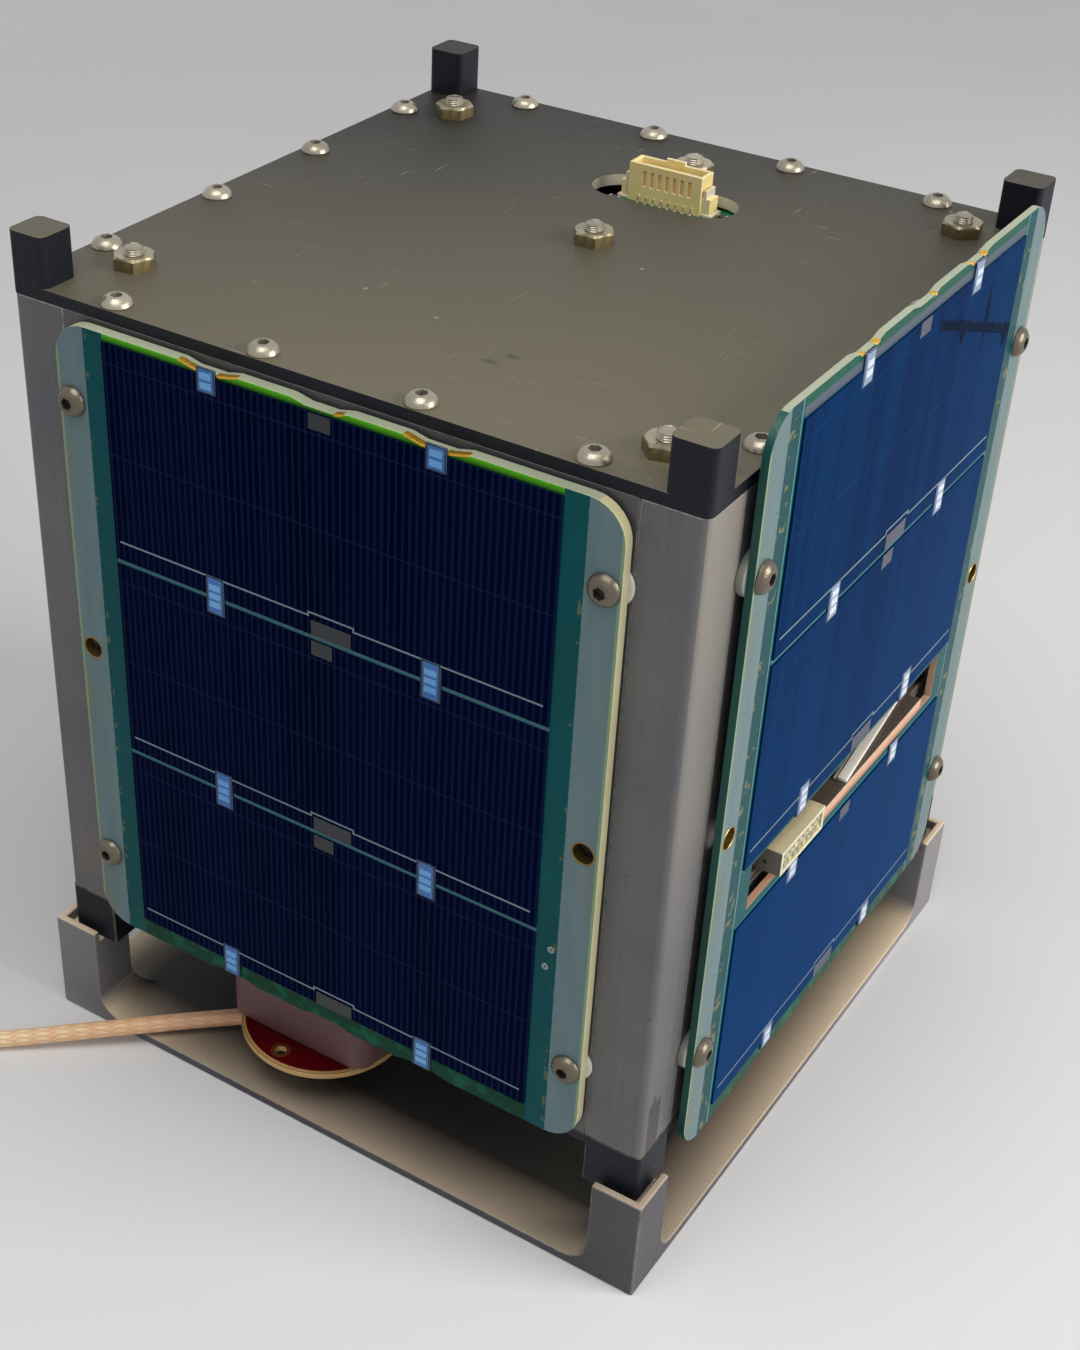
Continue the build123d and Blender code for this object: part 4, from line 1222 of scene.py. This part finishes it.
# Rings of the tube stand evenly along the line
ring_step, ring_corners = 0.00034, 40
run_at = [0.0]
for before, after in zip(line_points, line_points[1:]):
    run_at.append(run_at[-1] + (after - before).length)
cable_length = run_at[-1]
ring_count = round(cable_length / ring_step)
centres, segment = [], 0
for number in range(ring_count + 1):
    run = cable_length * number / ring_count
    while segment < len(run_at) - 2 and run_at[segment + 1] < run:
        segment += 1
    share = (run - run_at[segment]) / (run_at[segment + 1] - run_at[segment])
    centres.append(line_points[segment].lerp(line_points[segment + 1], share))

# The braid: strands of two hands that pass over and under each other
strands, strand_pitch, strand_rise = 10, 0.0030, 0.00003


def braid_height(around, along):
    right_hand = around * strands + along / strand_pitch
    left_hand = around * strands - along / strand_pitch
    over = (floor(right_hand) + floor(left_hand)) % 2
    return abs(sin(pi * (left_hand if over else right_hand)))


bm = bmesh.new()
braid_map = bm.loops.layers.uv.new("braid")
side_way = None
rings = []
for number, centre in enumerate(centres):
    ahead = centres[min(number + 1, ring_count)] - centres[max(number - 1, 0)]
    ahead.normalize()
    if side_way is None:
        side_way = ahead.cross(Vector((0, 0, 1))).normalized()
    side_way = (side_way - ahead * side_way.dot(ahead)).normalized()
    up_way = side_way.cross(ahead)
    along = cable_length * number / ring_count
    ring = []
    for corner in range(ring_corners):
        around = corner / ring_corners
        reach = cable_diameter / 2 - strand_rise * (1 - braid_height(around, along))
        angle = 2 * pi * around
        ring.append(bm.verts.new(centre + (side_way * cos(angle) + up_way * sin(angle)) * reach))
    rings.append(ring)
for number, (ring, after) in enumerate(zip(rings, rings[1:])):
    for corner in range(ring_corners):
        beside = (corner + 1) % ring_corners
        face = bm.faces.new((ring[corner], ring[beside], after[beside], after[corner]))
        spots = ((corner, number), (corner + 1, number), (corner + 1, number + 1), (corner, number + 1))
        for loop, (turn_part, run_part) in zip(face.loops, spots):
            loop[braid_map].uv = (turn_part / ring_corners, cable_length * run_part / ring_count)
bm.faces.new(list(reversed(rings[0])))
bm.faces.new(rings[-1])
bmesh.ops.recalc_face_normals(bm, faces=bm.faces)

tree = braid_finish = PieceFinish("braid_finish", Specular_IOR_Level=0.5)
spread = tree.axes(tree.node("UVMap", uv_map="braid")["UV"])
around, along = tree.times(spread["X"], strands), tree.math("DIVIDE", spread["Y"], strand_pitch)
hands = [tree.math(operation, around, along) for operation in ("ADD", "SUBTRACT")]
crossing = tree.math("ADD", *(tree.math("FLOOR", hand) for hand in hands))
over = tree.math("FLOORED_MODULO", crossing, 2.0)
bulges = [tree.math("ABSOLUTE", tree.math("SINE", tree.times(hand, pi))) for hand in hands]
height = tree.blend(over, *bulges)
threads_a_strand = 4
threads = tree.math("SINE", tree.times(tree.blend(over, *hands), 2 * pi * threads_a_strand))
surface = surface_grain.on(tree, Size=0.0005)
strand_tones = [
    tree.mix(surface["Mottle"], *tones)
    for tones in (((252, 222, 176), (255, 236, 198)), ((244, 198, 150), (250, 212, 168)))
]
tree.base = tree.mix(over, *strand_tones)
# Near the object the braid is tinted a pinker copper
tree.tint((226, 154, 118), tree.ramp(spread["Y"], 0.050, 0.012), 0.6)
# Painted shade: the valleys between the strands are darker than their crowns
braid_tone = tree.mix(tree.ramp(height, 0.0, 0.45), (206, 154, 112), tree.base)
tree.feed(Base_Color=braid_tone, Roughness=tree.ramp(surface["Grain"], 0.0, 1.0, 0.38, 0.6))
tree.emboss(tree.math("MULTIPLY_ADD", threads, 0.15, height), 0.5, 0.00006)

cable_nodes = ["feed_cable", "feed_cable_coil", "feed_cable_tail"]
cable = surface_piece("feed_lead", "cable_braid", bm, braid_finish, replaced=cable_nodes)
for plug_node in ("plug_body", "plug_nut"):
    nodes[plug_node].data.materials.clear()
    nodes[plug_node].data.materials.append(socket_gold.material)
